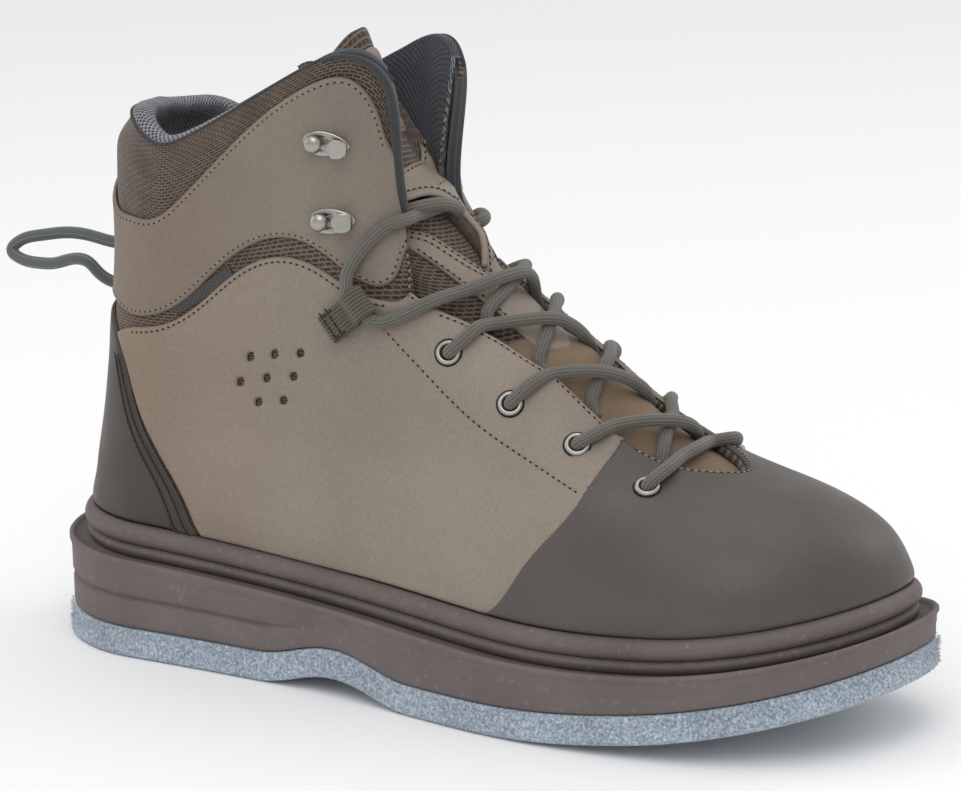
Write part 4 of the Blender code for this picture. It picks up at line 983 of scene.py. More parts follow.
def makeSole():
    felt = soleSizes["felt"]
    flare = soleSizes["feltFlare"]

    def feltAt(share):
        return lambda x: ground(x) + felt * share

    pad = [(flare - 0.0030, feltAt(0.0)), (flare - 0.0012, feltAt(0.02)), (flare - 0.0003, feltAt(0.08)),
           (flare, feltAt(0.18)), (flare * 0.8, feltAt(0.45)), (flare * 0.3, feltAt(0.8)),
           (0.0, feltAt(0.95)), (-0.0006, feltAt(1.0))]
    feltPad = soleBody("feltPad", pad, ["felt"])
    settle(feltPad, "felt", "felt_outsole")

    def midsoleAt(share, extra=0.0):
        def height(x):
            bottom = ground(x) + felt + upperSizes["gap"]
            return bottom + (soleTop(x) - bottom) * share + extra
        return height

    def grooved(depth, base=0.0):
        # The groove runs round the heel and fades out at the arch
        return lambda x: base - depth * (1 - ease((x - 0.045) / 0.030))

    lip = soleSizes["lip"]
    block = [
        (-0.0012, midsoleAt(0.0)), (-0.0002, midsoleAt(0.025)), (0.0, midsoleAt(0.07)),
        (0.0, midsoleAt(0.38)),
        (grooved(0.0003), midsoleAt(0.42)), (grooved(0.0012), midsoleAt(0.445)),
        (grooved(0.0014), midsoleAt(0.465)),
        (grooved(0.0005), midsoleAt(0.49)), (0.0002, midsoleAt(0.53)), (0.0003, midsoleAt(0.82)),
        (lip * 0.5, midsoleAt(0.90)), (lip, midsoleAt(0.95)), (lip, midsoleAt(1.0, 0.0003)),
        (lip * 0.5, midsoleAt(1.0, 0.0009)), (-lip * 0.4, midsoleAt(1.0, 0.0010)),
        (-lip * 1.1, midsoleAt(1.0, 0.0002)),
        (-lip * 1.5, midsoleAt(1.0, -0.0006)), (-0.0060, midsoleAt(1.0, -0.0006)),
        (-0.0085, midsoleAt(1.0, 0.0)),
    ]
    midsole = soleBody("midsoleBody", block, ["midsole"])
    settle(midsole, "midsole_rubber", "midsole")
    inside = -(inset + upperSizes["wall"] + 0.0018)
    top = [(inside, midsoleAt(1.0, 0.0003)), (inside, midsoleAt(1.0, 0.0033)),
           (inside - 0.0008, midsoleAt(1.0, 0.0041)), (inside - 0.0020, midsoleAt(1.0, 0.0043))]
    insole = soleBody("insoleBoard", top, ["insole"])
    settle(insole, "insole_foam", "insole")


weltBase = 0.0006  # how far the welt's bed stands out from the upper


def makeWelt():
    # Two rolls with a stitched groove between them: level, distance out as a share of the thickness
    profile = [
        (0.00, 0.00), (0.00, 0.70), (0.04, 0.92), (0.12, 1.05), (0.22, 1.08), (0.31, 1.00), (0.365, 0.78),
        (0.40, 0.62), (0.435, 0.78), (0.48, 1.02), (0.56, 1.18), (0.66, 1.24), (0.76, 1.22), (0.86, 1.06),
        (0.94, 0.78), (0.985, 0.42), (0.99, 0.0),
    ]
    ring = columns(pi, 90, 90)[1:]
    thick = upperSizes["weltThickness"]
    rows = []
    for level, out in profile:
        points = skin(np.full(len(ring), level), ring, weltBase + thick * out)
        if level < 0.04:
            points[:, 2] = soleTop(points[:, 0]) - 0.0004
        rows.append(points)
    rand = loft("weltRand", rows, ["rand"], ring=True, tube=True)
    settle(rand, "welt_rubber", "welt")


makeSole()
makeWelt()
print("sole ready")


# Upper: one knitted wall, open at the throat and the collar
collarBack = {"from": 13.5, "inward": 0.0062, "full": 0.13, "gone": 0.30}


def collarRound(level, turn):
    # The padded back rolls in towards its top edge
    share = np.abs(turn) / pi
    tall = ease((np.asarray(level, float) - collarBack["from"]) / (topLevel - collarBack["from"])) ** 1.4
    fade = ease((share - collarBack["full"]) / (collarBack["gone"] - collarBack["full"]))
    return collarBack["inward"] * tall * (1 - fade)


def makeUpper():
    levels = np.concatenate([np.linspace(0, 6.0, 40), np.linspace(6.15, 7.2, 22), np.linspace(7.3, 15, 90)])
    outer, inner, flat = [], [], []
    for level in levels:
        turns = columns(float(throatEdge(level)))
        along = np.full(len(turns), level)
        inward = collarRound(along, turns)
        outer.append(skin(along, turns, -inward))
        inner.append(skin(along, turns, -upperSizes["wall"] - inward))
        flat.append(clothMap(along, turns))
    upper = shell("upperShell", outer, inner, ["knit", "inside"], flat)
    settle(upper, "mesh", "upper")


makeUpper()
print("upper ready")

# Overlays: edges on the form as level and share of the half turn
edges = {
    "toe": [(1.00, 0.566), (2.65, 0.596), (4.25, 0.645), (5.85, 0.731), (6.85, 0.826), (7.25, 0.880)],
    "counter": [(1.00, 0.292), (2.65, 0.273), (4.25, 0.243), (5.6, 0.220), (6.75, 0.207), (7.85, 0.194),
                (8.8, 0.170)],
    "counterTop": [(8.8, 0.170), (9.25, 0.135), (9.5, 0.07), (9.58, 0.0)],
    "quarterTop": [
        (8.95, 0.195), (9.1, 0.230), (9.28, 0.295), (10.15, 0.400), (10.95, 0.505), (11.05, 0.566),
        (10.88, 0.612),
        (10.5, 0.650), (10.25, 0.672), (10.12, 0.705), (10.12, 0.740), (10.25, 0.766),
    ],
    "shaftLow": [
        (9.95, 0.0), (9.88, 0.080), (9.68, 0.180), (9.50, 0.235), (9.58, 0.292), (10.6, 0.411),
        (11.38, 0.520),
        (11.45, 0.579), (11.28, 0.625), (10.80, 0.665), (10.42, 0.695), (10.36, 0.722), (10.48, 0.752),
        (10.75, 0.785), (11.20, 0.828),
    ],
    "shaftTop": [
        (13.00, 0.0), (12.80, 0.080), (12.42, 0.150), (12.20, 0.208), (12.28, 0.260), (12.5, 0.316),
        (13.0, 0.385),
        (13.8, 0.487), (14.28, 0.576), (14.42, 0.668), (14.40, 0.730), (14.15, 0.788), (13.70, 0.826),
    ],
}
outlines = {}
panelSizes = {"base": 0.0003, "thick": 0.0013, "roll": 0.0016, "spacing": 0.0021}
stripSizes = {"base": 0.0013, "thick": 0.0007, "roll": 0.0008, "spacing": 0.0021}
throatMargin = 0.012
# Room left beside a neighbouring panel's edge, in shares of the half turn
besideFront = 0.003
besideRear = 0.004
toeTuck = 0.010  # share of the half turn, about 1.4 mm
stripShare = 0.026  # the counter strip's width as a share of the half turn, about 6 mm
quarterHoles = [(8.60, 0.431), (8.75, 0.470), (8.85, 0.510), (7.75, 0.395), (8.00, 0.437), (8.15, 0.477),
                (7.15, 0.405), (7.35, 0.441)]


def onSide(table, side):
    # Level and turn of a table of levels and shares, on the outer (-1) or inner (1) side
    return [(level, side * pi * share) for level, share in table]


def throatRun(low, high, side, margin=throatMargin):
    # The throat's edge between two levels, a little back from it
    levels = np.arange(low, high + 0.01, 0.15)
    return [(level, side * (float(throatEdge(level)) - margin)) for level in levels]


def joined(*runs):
    # Smooth runs put end to end as one closed outline
    pieces = []
    for run in runs:
        line = through(run, 0.0012, skin)
        pieces.append(line[:-1])
    return np.concatenate(pieces)


def leaf(level, share, side, half=0.0029, wide=0.0011, lean=0.72):
    # A slim leaf-shaped hole, its tip leaning up and forward
    centre = (level, side * pi * share)
    here = skin(centre[0], centre[1], 0.0)
    up = (skin(centre[0] + 0.01, centre[1], 0.0) - here) / 0.01
    around = (skin(centre[0], centre[1] + 0.001, 0.0) - here) / 0.001
    points = []
    for k in range(20):
        angle = k * 2 * pi / 20
        along = half * math.cos(angle)
        across = wide * math.sin(angle) * (1 - 0.75 * abs(math.cos(angle)) ** 3)
        rise = along * math.sin(lean) + across * math.cos(lean)
        run = along * math.cos(lean) - across * math.sin(lean)
        points.append((centre[0] + rise / np.linalg.norm(up),
                       centre[1] + side * run / np.linalg.norm(around)))
    return np.array(points)


def shifted(table, by):
    return [(level, share + by) for level, share in table]


def addPanel(name, outline, finish, slot, *nodes, sizes=panelSizes, scale=sideScale, holes=()):
    # A sewn panel on the upper, whose outline is kept for its seams
    outlines[name] = (outline, scale)
    settle(patch(name, skin, outline, sizes, [finish, "edge"], holes=holes, scale=scale), slot, *nodes)


def makePanels():
    tucked = shifted(edges["toe"], -toeTuck)
    lateralToe = [(level, 2 * pi - pi * share) for level, share in tucked]
    medialToe = onSide(tucked, 1)
    # Over the throat's foot, from the inner side to the outer
    overMedial = throatRun(6.33, 7.25, 1)[::-1]
    overLateral = [(level, 2 * pi - (float(throatEdge(level)) - throatMargin))
                   for level in np.arange(6.33, 7.26, 0.15)]
    bend = [(6.33, 0.935 * pi - throatMargin), (6.18, 0.975 * pi), (6.13, pi), (6.18, 1.025 * pi),
            (6.33, 1.065 * pi + throatMargin)]
    outline = joined(medialToe, overMedial, bend, overLateral, lateralToe[::-1],
                     [lateralToe[0], (1.0, pi), medialToe[0]])
    addPanel("toeCap", outline, "toe", "dark_leather", "toe_cap", scale=patchScale)

    back = onSide(edges["counter"], -1)
    top = onSide(edges["counterTop"], -1)
    outline = joined(back, top, onSide(edges["counterTop"][::-1], 1), onSide(edges["counter"][::-1], 1),
                     [(1.0, 0.292 * pi), (1.0, 0.0), (1.0, -0.292 * pi)])
    addPanel("heelCounter", outline, "heel", "dark_leather", "heel_counter")

    # A folded strip along the counter's front edge, under its double seam
    for side, sideName in bothSides:
        front = onSide(shifted(edges["counter"][:-1], -besideFront), side)
        behind = onSide(shifted(edges["counter"][:-1], -stripShare), side)
        outline = joined(front, [front[-1], behind[-1]], behind[::-1], [behind[0], front[0]])
        addPanel("counterStrip" + sideName, outline, "strip", "dark_leather", sizes=stripSizes)

    for side, sideName in bothSides:
        rear = onSide(shifted(edges["counter"], besideRear), side)
        crown = onSide(edges["quarterTop"], side)
        eyestay = throatRun(7.30, 10.05, side)[::-1]
        front = onSide(shifted(edges["toe"], -besideFront), side)[::-1]
        foot = [(1.0, side * pi * 0.563), (1.0, side * pi * 0.43), (1.0, side * pi * 0.296)]
        outline = joined(rear, [rear[-1], crown[0]], crown, [crown[-1], eyestay[0]], eyestay,
                         [eyestay[-1], front[0]], front, foot)
        holes = [leaf(level, share, side) for level, share in quarterHoles]
        node = "quarter_" + sideName.lower()
        addPanel("quarter" + sideName, outline, "taupe", "taupe_leather", node, holes=holes)

    low = edges["shaftLow"]
    high = edges["shaftTop"]
    outline = joined(onSide(low, 1), throatRun(11.25, 13.65, 1), onSide(high[::-1], 1), onSide(high, -1),
                     throatRun(11.25, 13.65, -1)[::-1], onSide(low[::-1], -1))
    addPanel("shaftPanel", outline, "shaft", "taupe_leather", "shaft_panel",
             sizes=dict(panelSizes, base=0.0004), scale=shaftScale)


makePanels()
print("panels ready")


# Padded collar lining: thick at the back and sides, thin down the flaps
rollMap = 9.0  # mm of cloth over the roll
rimCover = 0.0024  # how far the roll reaches out over the wall's top edge


def makeLining():
    start = upperSizes["wall"] + 0.00045
    levels = np.linspace(9.8, 15, 60)
    rows, flat = [], []

    def row(level, depth, riseShare, mapUp, cover=0.0):
        turns = columns(float(throatEdge(level)) - 0.03)
        share = np.abs(turns) / pi
        padding = upperSizes["lining"] - upperSizes["liningFront"]
        thick = upperSizes["liningFront"] + padding * (1 - ease((share - 0.35) / 0.35))
        points = skin(np.full(len(turns), level), turns,
                      cover * (1 - depth) - start - thick * depth - collarRound(level, turns))
        points[:, 2] += thick * riseShare
        rows.append(points)
        plane = clothMap(np.full(len(turns), level), turns)
        plane[:, 1] += mapUp
        flat.append(plane)

    for level in levels:
        row(level, 0.0, 0.0, 40.0)
    for angle in np.linspace(10, 170, 14):
        swing = math.radians(angle)
        row(topLevel, 0.5 - 0.5 * math.cos(swing), 0.42 * math.sin(swing), rollMap - angle / 170 * rollMap,
            rimCover)
    for level in levels[::-1]:
        row(level, 1.0, 0.0, 0.0)
    row(levels[0], 0.4, 0.0, 0.0)
    width = len(rows[0])
    turns = columns(float(throatEdge(topLevel)) - 0.03)
    dark = (np.abs(turns[:-1] + turns[1:]) / 2 > 0.50 * pi).astype(int)
    kinds = np.concatenate([np.tile(dark, len(rows)), [0, 0]])
    lining = loft("collarLining", rows, ["lining", "flapMesh"], flat, tube=True, caps=True, kinds=kinds)
    settle(lining, "lining", "collar_lining")


makeLining()
print("lining ready")


# Tongue: a knit sheet under the laces, with leather pads and a lace keeper
tongueGirth = 48  # mm of knit a radian of turn


def makeTongue():
    levels = np.linspace(5.55, 15, 120)
    shares = np.linspace(1, -1, 49)
    outer, inner, flat = [], [], []
    for level in levels:
        along = np.full(len(shares), level)
        outer.append(tongueSkin(along, shares, 0.0))
        inner.append(tongueSkin(along, shares, -upperSizes["tongue"]))
        half = spline(tongueTable, 1, level) * pi * tongueGirth
        flat.append(np.stack([shares * half, along * clothRise], -1))
    tongue = shell("tonguePanel", outer, inner, ["knit", "inside"], flat)
    settle(tongue, "mesh", "tongue")


makeTongue()
print("tongue ready")


tonguePieces = {
    # level and share of the tongue's half width, -1 at its outer edge
    "topPad": [
        [(13.80, -0.75), (13.78, 0.0), (13.80, 0.75)], [(13.80, 0.75), (14.2, 0.80), (14.62, 0.80)],
        [(14.62, 0.80), (14.72, 0.40), (14.74, 0.0), (14.70, -0.60)],
        [(14.70, -0.60), (14.2, -0.70), (13.80, -0.75)],
    ],
    "lowerPad": [
        [(11.98, -0.62), (11.88, -0.36), (11.38, -0.215), (10.85, -0.075)],
        [(10.85, -0.075), (10.72, 0.15), (10.80, 0.45), (10.9, 0.80)],
        [(10.9, 0.80), (10.2, 0.62), (9.6, 0.40), (9.15, 0.08)],
        [(9.15, 0.08), (8.98, -0.12), (8.98, -0.28), (9.15, -0.44)],
        [(9.15, -0.44), (9.78, -0.375), (10.16, -0.35), (10.63, -0.382), (11.35, -0.54), (11.60, -0.66)],
        [(11.60, -0.66), (11.98, -0.62)],
    ],
    "keeper": [
        [(12.62, -0.88), (12.68, -0.55), (12.66, -0.30), (12.50, -0.10), (12.20, 0.05), (11.75, 0.10),
         (11.30, 0.02), (10.95, -0.09)],
        [(10.95, -0.09), (10.70, -0.02), (10.66, 0.10), (10.80, 0.30)],
        [(10.80, 0.30), (11.0, 0.80)],
        [(11.0, 0.80), (12.0, 0.86), (13.22, 0.86)],
        [(13.22, 0.86), (13.28, 0.30), (13.26, 0.0), (13.18, -0.38), (13.10, -0.88)],
        [(13.10, -0.88), (12.62, -0.88)],
    ],
}
tongueScale = (12.0, 30.0)
tongueBase = {"base": 0.0002, "thick": 0.0011, "roll": 0.0013, "spacing": 0.0018}


keeperHeight = 0.0050


def keeperLift(level, share, depth):
    # The keeper stands clear of the tongue where the lace runs under it
    wide = ease((share + 0.95) / 0.35) * ease((0.85 - share) / 0.45)
    tall = ease((13.15 - level) / 0.55) * ease((level - 10.75) / 0.9)
    return keeperHeight * wide * tall


def tongueRun(runs):
    return np.concatenate([through(run, 0.0012, tongueSkin)[:-1] for run in runs])


def makeTongueLeather():
    for name, piece, dome in (("topPad", "tongueTopPad", None), ("lowerPad", "tongueLowerPad", None),
                              ("keeper", "laceKeeper", keeperLift)):
        outline = tongueRun(tonguePieces[name])
        outlines[name] = (outline, tongueScale)
        pad = patch(piece, tongueSkin, outline, tongueBase, ["taupe", "edge"], scale=tongueScale, dome=dome)
        settle(pad, "taupe_leather")
    outline = tongueRun([[(5.75, -0.92), (5.70, 0.0), (5.75, 0.70)],
                         [(5.75, 0.70), (7.4, 0.66), (9.35, 0.60)],
                         [(9.35, 0.60), (9.42, 0.0), (9.30, -0.90)],
                         [(9.30, -0.90), (7.4, -0.92), (5.75, -0.92)]])
    vamp = patch("tongueVamp", tongueSkin, outline, dict(tongueBase, base=0.0001, thick=0.0006),
                 ["nubuck"] * 2, scale=tongueScale)
    settle(vamp, "taupe_leather")
    # The keeper's arched edge is bound with a thin roll
    line = through(tonguePieces["keeper"][0], 0.001, tongueSkin)
    lift = keeperLift(line[:, 0], line[:, 1], 0) + 0.0006
    path = tongueSkin(line[:, 0], line[:, 1], lift)
    roll = sweep("keeperPiping", path, circle(0.0011, 10), ["taupe"])
    settle(roll, "taupe_leather")


makeTongueLeather()
print("tongue leather ready")

# Eyelets, hooks and woven loops
fittings = {
    "eyelets": [(6.00, 0.803), (7.10, 0.790), (8.00, 0.763), (9.10, 0.747)],
    "hooks": [(11.60, 0.698), (13.10, 0.710)],
    "loop": (10.08, 0.672), "loopHeading": (10.35, 0.727), "tabShares": (0.335, 0.468),
    "seat": 0.0015, "loopSeat": 0.0016, "ring": 0.0042, "hole": 0.0024, "height": 0.0013, "webbing": 0.0105,
    "tape": 0.0016, "lace": 0.0044,
}


def frameAt(place, side, offset, toward):
    # Place on the outer face of one side: its x axis heads for a second place, its z axis points out
    point = skin(place[0], side * pi * place[1], offset)
    target = skin(toward[0], side * pi * toward[1], offset)
    normal = Vector(outward(place[0], side * pi * place[1]))
    heading = Vector(target - point)
    across = normal.cross(heading).normalized()
    forward = across.cross(normal).normalized()
    matrix = Matrix((forward, across, normal)).transposed().to_4x4()
    matrix.translation = Vector(point)
    return matrix


def turned(profile, sides=40):
    # A profile of radius and height turned about the local z axis
    rows = []
    for k in range(sides):
        angle = k * 2 * pi / sides
        rows.append([(r * math.cos(angle), r * math.sin(angle), z) for r, z in profile])
    return rows


def moved(matrix, points):
    # Points in a fitting's own axes put in their place
    points = np.array(points)
    return np.array([tuple(matrix @ Vector(p)) for p in points.reshape(-1, 3)]).reshape(points.shape)


def placed(name, rows, matrix, ring=False, tube=True, finish="steel"):
    return loft(name, moved(matrix, rows), [finish], ring=ring, tube=tube)


def joinPieces(name, pieces):
    # Several meshes made one object
    shape = bmesh.new()
    materials = []
    for piece in pieces:
        mesh = piece.data
        offset = len(materials)
        materials += list(mesh.materials)
        first = len(shape.faces)
        shape.from_mesh(mesh)
        shape.faces.ensure_lookup_table()
        for face in shape.faces[first:]:
            face.material_index += offset
        bpy.data.objects.remove(piece)
    mesh = bpy.data.meshes.new(name)
    for material in materials:
        mesh.materials.append(material)
    shape.to_mesh(mesh)
    shape.free()
    return linked(name, mesh)


def makeEyelets():
    ring, hole, height = fittings["ring"], fittings["hole"], fittings["height"]
    middle = (ring + hole) / 2
    half = (ring - hole) / 2
    profile = [(hole, -0.0012), (hole, 0.0002)]
    profile += [(middle - half * math.cos(a), 0.0004 + height * 0.75 * math.sin(a))
                for a in np.linspace(0.15, pi - 0.15, 9)]
    profile += [(ring, 0.0002), (ring, -0.0004), (ring * 0.9, -0.0008)]
    for side, sideName in bothSides:
        for number, (level, share) in enumerate(fittings["eyelets"], 1):
            matrix = frameAt((level, share), side, fittings["seat"], (level + 0.5, share))
            body = placed("ringBody", turned(profile), matrix, ring=True)
            # A near-black disc under each eyelet and across its hole: painted shade round the ring and down
            # the hole
            shadeDisc = [(0.0, 0.0), (ring + 0.0005, 0.0), (ring + 0.0005, 0.00025), (0.0, 0.00025)]
            shade = placed("ringShade", turned(shadeDisc, 32), matrix, finish="paintedShade")
            eyelet = joinPieces("eyelet%s%d" % (sideName, number), [body, shade])
            settle(eyelet, "steel", "eyelet_%s_%d" % (sideName.lower(), number))


hookSizes = {
    "plateLength": 0.0079, "plateWidth": 0.0051, "narrowing": 0.34, "plateTop": 0.0011, "ballWidth": 0.0031,
    "ballHeight": 0.0020, "ballBack": 0.0040, "stem": 0.0013, "spread": 0.0020, "taper": 0.0023,
    "bow": 0.0007,
    "steel": 0.00055,
}


def makeHooks():
    # Egg-shaped plate, a ball rivet at its wide end and a tongue of steel curled back over it
    for side, sideName in bothSides:
        for number, (level, share) in enumerate(fittings["hooks"], 1):
            matrix = frameAt((level, share), side, fittings["seat"], (level - 0.02, share + 0.05))
            plate = []
            for scale, z in ((0.90, -0.0002), (1.0, 0.0001), (1.0, 0.0007), (0.94, 0.0010), (0.80, 0.0011),
                             (0.01, 0.0011)):
                row = []
                for k in range(40):
                    angle = k * 2 * pi / 40
                    wide = hookSizes["plateWidth"] * (1 - hookSizes["narrowing"] * (1 + math.cos(angle)) / 2)
                    row.append((hookSizes["plateLength"] * scale * math.cos(angle),
                                wide * scale * math.sin(angle), z))
                plate.append(row)
            base = placed("hookPlate", plate, matrix, ring=True)
            ball = [(hookSizes["ballWidth"] * math.sin(a),
                     hookSizes["plateTop"] + hookSizes["ballHeight"] * (1 - math.cos(a)))
                    for a in np.linspace(0.01, pi - 0.01, 14)]
            rivet = [[(x - hookSizes["ballBack"], y, z) for x, y, z in row] for row in turned(ball, 28)]
            rivet = placed("hookBall", rivet, matrix)
            # Side line of the curl: out along the plate, up and back towards the ball; half widths beside it
            line = smoothPath([(0.0050, 0.0, 0.0012), (0.0072, 0.0, 0.0022), (0.0070, 0.0, 0.0044),
                               (0.0050, 0.0, 0.0053), (0.0028, 0.0, 0.0054), (0.0006, 0.0, 0.0048)], 0.0004)
            rows = []
            tangent = unit(np.gradient(line, axis=0))
            for k, point in enumerate(line):
                run = k / (len(line) - 1)
                half = (hookSizes["stem"] + hookSizes["spread"] * ease(run / 0.65)
                        - hookSizes["taper"] * ease((run - 0.76) / 0.26))
                out = np.array([-tangent[k][2], 0.0, tangent[k][0]])
                row = []
                for m in range(16):
                    angle = m * 2 * pi / 16
                    across = half * blunt(math.cos(angle), 0.6)
                    bow = hookSizes["bow"] * (1 - (across / 0.0036) ** 2)
                    high = hookSizes["steel"] * blunt(math.sin(angle), 0.8) - bow * 0.6
                    row.append((point[0] - out[0] * high, across, point[2] - out[2] * high))
                rows.append(row)
            curl = placed("hookCurl", rows, matrix, ring=True, tube=False)
            capEnds(curl)
            hook = joinPieces("laceHook%s%d" % (sideName, number), [base, rivet, curl])
            settle(hook, "steel", "lace_hook_%s_%d" % (sideName.lower(), number))


def capEnds(target):
    shape = bmesh.new()
    shape.from_mesh(target.data)
    rims = [edge for edge in shape.edges if len(edge.link_faces) == 1]
    bmesh.ops.holes_fill(shape, edges=rims, sides=0)
    bmesh.ops.recalc_face_normals(shape, faces=shape.faces)
    shape.to_mesh(target.data)
    shape.free()
    target.data.shade_smooth()


def tapeSection(width, thick, steps=10):
    # A flat strip with rounded long edges: pairs of across and out
    half = width / 2 - thick / 2
    points = [(half + thick / 2 * math.cos(a), thick / 2 * math.sin(a))
              for a in np.linspace(-pi / 2, pi / 2, 6)]
    points += [(x, thick / 2) for x in np.linspace(half, -half, steps)[1:-1]]
    points += [(-half + thick / 2 * math.cos(a), thick / 2 * math.sin(a))
               for a in np.linspace(pi / 2, 3 * pi / 2, 6)]
    points += [(x, -thick / 2) for x in np.linspace(-half, half, steps)[1:-1]]
    return points


eyeCentres = {}


def makeWebbing():
    eye = fittings["lace"] / 2 + upperSizes["gap"]
    tape = fittings["tape"]
    outer = eye + tape
    radius = eye + tape / 2
    for side, sideName in bothSides:
        matrix = frameAt(fittings["loop"], side, fittings["loopSeat"], fittings["loopHeading"])
        # Along the tape and up from the leather: out to the eye, round it and back
        line = [(-0.0158, tape * 0.5), (-0.0110, tape * 0.5), (-0.0060, tape * 0.5), (-0.0020, tape * 0.5)]
        line += [(radius * math.sin(a), outer - radius * math.cos(a))
                 for a in np.linspace(0.25, 1.28 * pi, 16)]
        line += [(-0.0052, tape * 1.75), (-0.0085, tape * 1.58), (-0.0120, tape * 1.52),
                 (-0.0155, tape * 1.5)]
        path = moved(matrix, smoothPath([(x, 0.0, z) for x, z in line], 0.0007))
        tangent = np.gradient(path, axis=0)
        across = np.array([tuple(matrix.to_3x3() @ Vector((0, 1, 0)))] * len(path))
        outwards = np.cross(tangent, across)
        strap = sweep("laceLoop" + sideName, path, tapeSection(fittings["webbing"], tape * 0.92),
                      ["webbing"], outwards)
        settle(strap, "webbing", "lace_loop_" + sideName.lower())
        eyeCentres[side] = (matrix, outer)
    # A plain woven tab across the knit band between the quarter and the shaft
    tables = [edges["quarterTop"], edges["shaftLow"]]
    low, high = ([(float(np.interp(share, [row[1] for row in table], [row[0] for row in table])), -pi * share)
                  for share in np.linspace(*fittings["tabShares"], 7)] for table in tables)
    outline = joined(low, [low[-1], high[-1]], high[::-1], [high[0], low[0]])
    tab = patch("sideTab", skin, outline,
                {"base": 0.0001, "thick": 0.0005, "roll": 0.0006, "spacing": 0.0012},
                ["tabCloth"] * 2, scale=tabScale)
    settle(tab, "webbing", "side_tab")


makeEyelets()
makeHooks()
makeWebbing()
print("fittings ready")

# Lace: surface (L and M the outer and inner side, T the tongue), level, share,
# height of the cord's middle in mm.
# Each strand leaves its eyelet, crosses the tongue and dives under the other edge.
laceRuns = {
    "laceBar": [
        ("L", 6.00, 0.803, -1.5), ("L", 6.01, 0.805, 2.4), ("L", 6.14, 0.826, 4.4), ("L", 6.38, 0.866, 4.4),
        ("T", 6.74, -0.40, 4.6), ("T", 6.82, -0.07, 4.6), ("T", 6.66, 0.55, 4.4), ("M", 6.50, 0.90, 3.6),
        ("M", 6.20, 0.838, 3.8), ("M", 6.01, 0.805, 2.4), ("M", 6.00, 0.803, -1.5),
    ],
    "laceStrand1": [
        ("L", 7.10, 0.790, -1.5), ("L", 7.11, 0.792, 2.4), ("L", 7.20, 0.818, 4.2), ("L", 7.34, 0.848, 4.4),
        ("T", 7.50, -0.61, 5.0), ("T", 7.45, -0.39, 6.2), ("T", 7.31, -0.19, 7.7), ("T", 7.19, 0.08, 6.2),
        ("T", 6.98, 0.44, 3.0), ("T", 6.80, 0.66, 1.0), ("M", 6.55, 0.86, -3.0),
    ],
    "laceStrand2": [
        ("L", 8.00, 0.763, -1.5), ("L", 8.01, 0.765, 2.4), ("L", 8.16, 0.79, 4.2), ("L", 8.40, 0.838, 4.4),
        ("T", 8.60, -0.575, 5.0), ("T", 8.48, -0.413, 6.4), ("T", 8.31, -0.265, 7.7), ("T", 8.12, -0.12, 6.6),
        ("T", 7.98, 0.04, 4.6), ("T", 7.84, 0.24, 2.6), ("T", 7.70, 0.50, 0.8), ("M", 7.50, 0.85, -3.2),
    ],
    "laceStrand3": [
        ("L", 9.10, 0.747, -1.5), ("L", 9.11, 0.75, 2.4), ("L", 9.26, 0.782, 4.2), ("L", 9.48, 0.822, 4.6),
        ("T", 9.72, -0.575, 5.0), ("T", 9.67, -0.44, 5.4), ("T", 9.52, -0.30, 6.6), ("T", 9.35, -0.155, 7.7),
        ("T", 9.16, 0.01, 5.8), ("T", 8.95, 0.18, 3.0), ("T", 8.78, 0.45, 0.9), ("M", 8.50, 0.85, -3.2),
    ],
    "laceUnder1": [
        ("M", 7.10, 0.790, -1.5), ("M", 7.11, 0.792, 2.4), ("M", 7.30, 0.84, 3.8), ("M", 7.48, 0.89, 3.3),
        ("T", 7.42, 0.30, 3.6), ("T", 7.26, -0.15, 3.1), ("T", 7.02, -0.38, 3.0), ("T", 6.86, -0.50, 1.6),
        ("L", 6.66, 0.89, -3.4),
    ],
    "laceUnder2": [
        ("M", 8.00, 0.763, -1.5), ("M", 8.01, 0.765, 2.4), ("M", 8.30, 0.83, 3.8), ("M", 8.57, 0.89, 3.3),
        ("T", 8.52, 0.10, 3.8), ("T", 8.42, -0.14, 3.2), ("T", 8.26, -0.31, 3.1), ("T", 8.04, -0.49, 1.8),
        ("L", 7.80, 0.89, -3.4),
    ],
    "laceUnder3": [
        ("M", 9.10, 0.747, -1.5), ("M", 9.11, 0.75, 2.4), ("M", 9.34, 0.81, 3.8), ("M", 9.56, 0.885, 3.3),
        ("T", 9.54, 0.14, 3.9), ("T", 9.40, -0.10, 3.3), ("T", 9.12, -0.37, 3.1), ("T", 8.90, -0.56, 1.8),
        ("L", 8.62, 0.89, -3.4),
    ],
}


def lacePoint(surface, level, share, high):
    if surface == "T":
        return tongueSkin(level, share, high * mm)
    return skin(level, (-1 if surface == "L" else 1) * pi * share, high * mm)


# Along, across and above the middle of a woven loop's eye
throughEye = [(0.0004, 0.0068, 0.0004), (0.0, 0.0, 0.0), (0.0004, -0.0066, -0.0002)]


def loopPoint(side, along, across, high):
    # A point beside the woven loop's eye, in the loop's own axes
    matrix, outer = eyeCentres[side]
    return np.array(matrix @ Vector((along, across, outer + high)))


def relaxed(path, held, rounds=26):
    # Eases kinks out of a cord's path, but not at its ends or near the places it is held
    far = gone(path)
    free = ease((np.minimum(far, far[-1] - far) - 0.004) / 0.008)
    for place in held:
        free = free * ease((np.linalg.norm(path - place, axis=1) - 0.010) / 0.008)
    for _ in range(rounds):
        middle = (path[:-2] + path[2:]) / 2
        path[1:-1] += (middle - path[1:-1]) * 0.5 * free[1:-1, None]
    return path


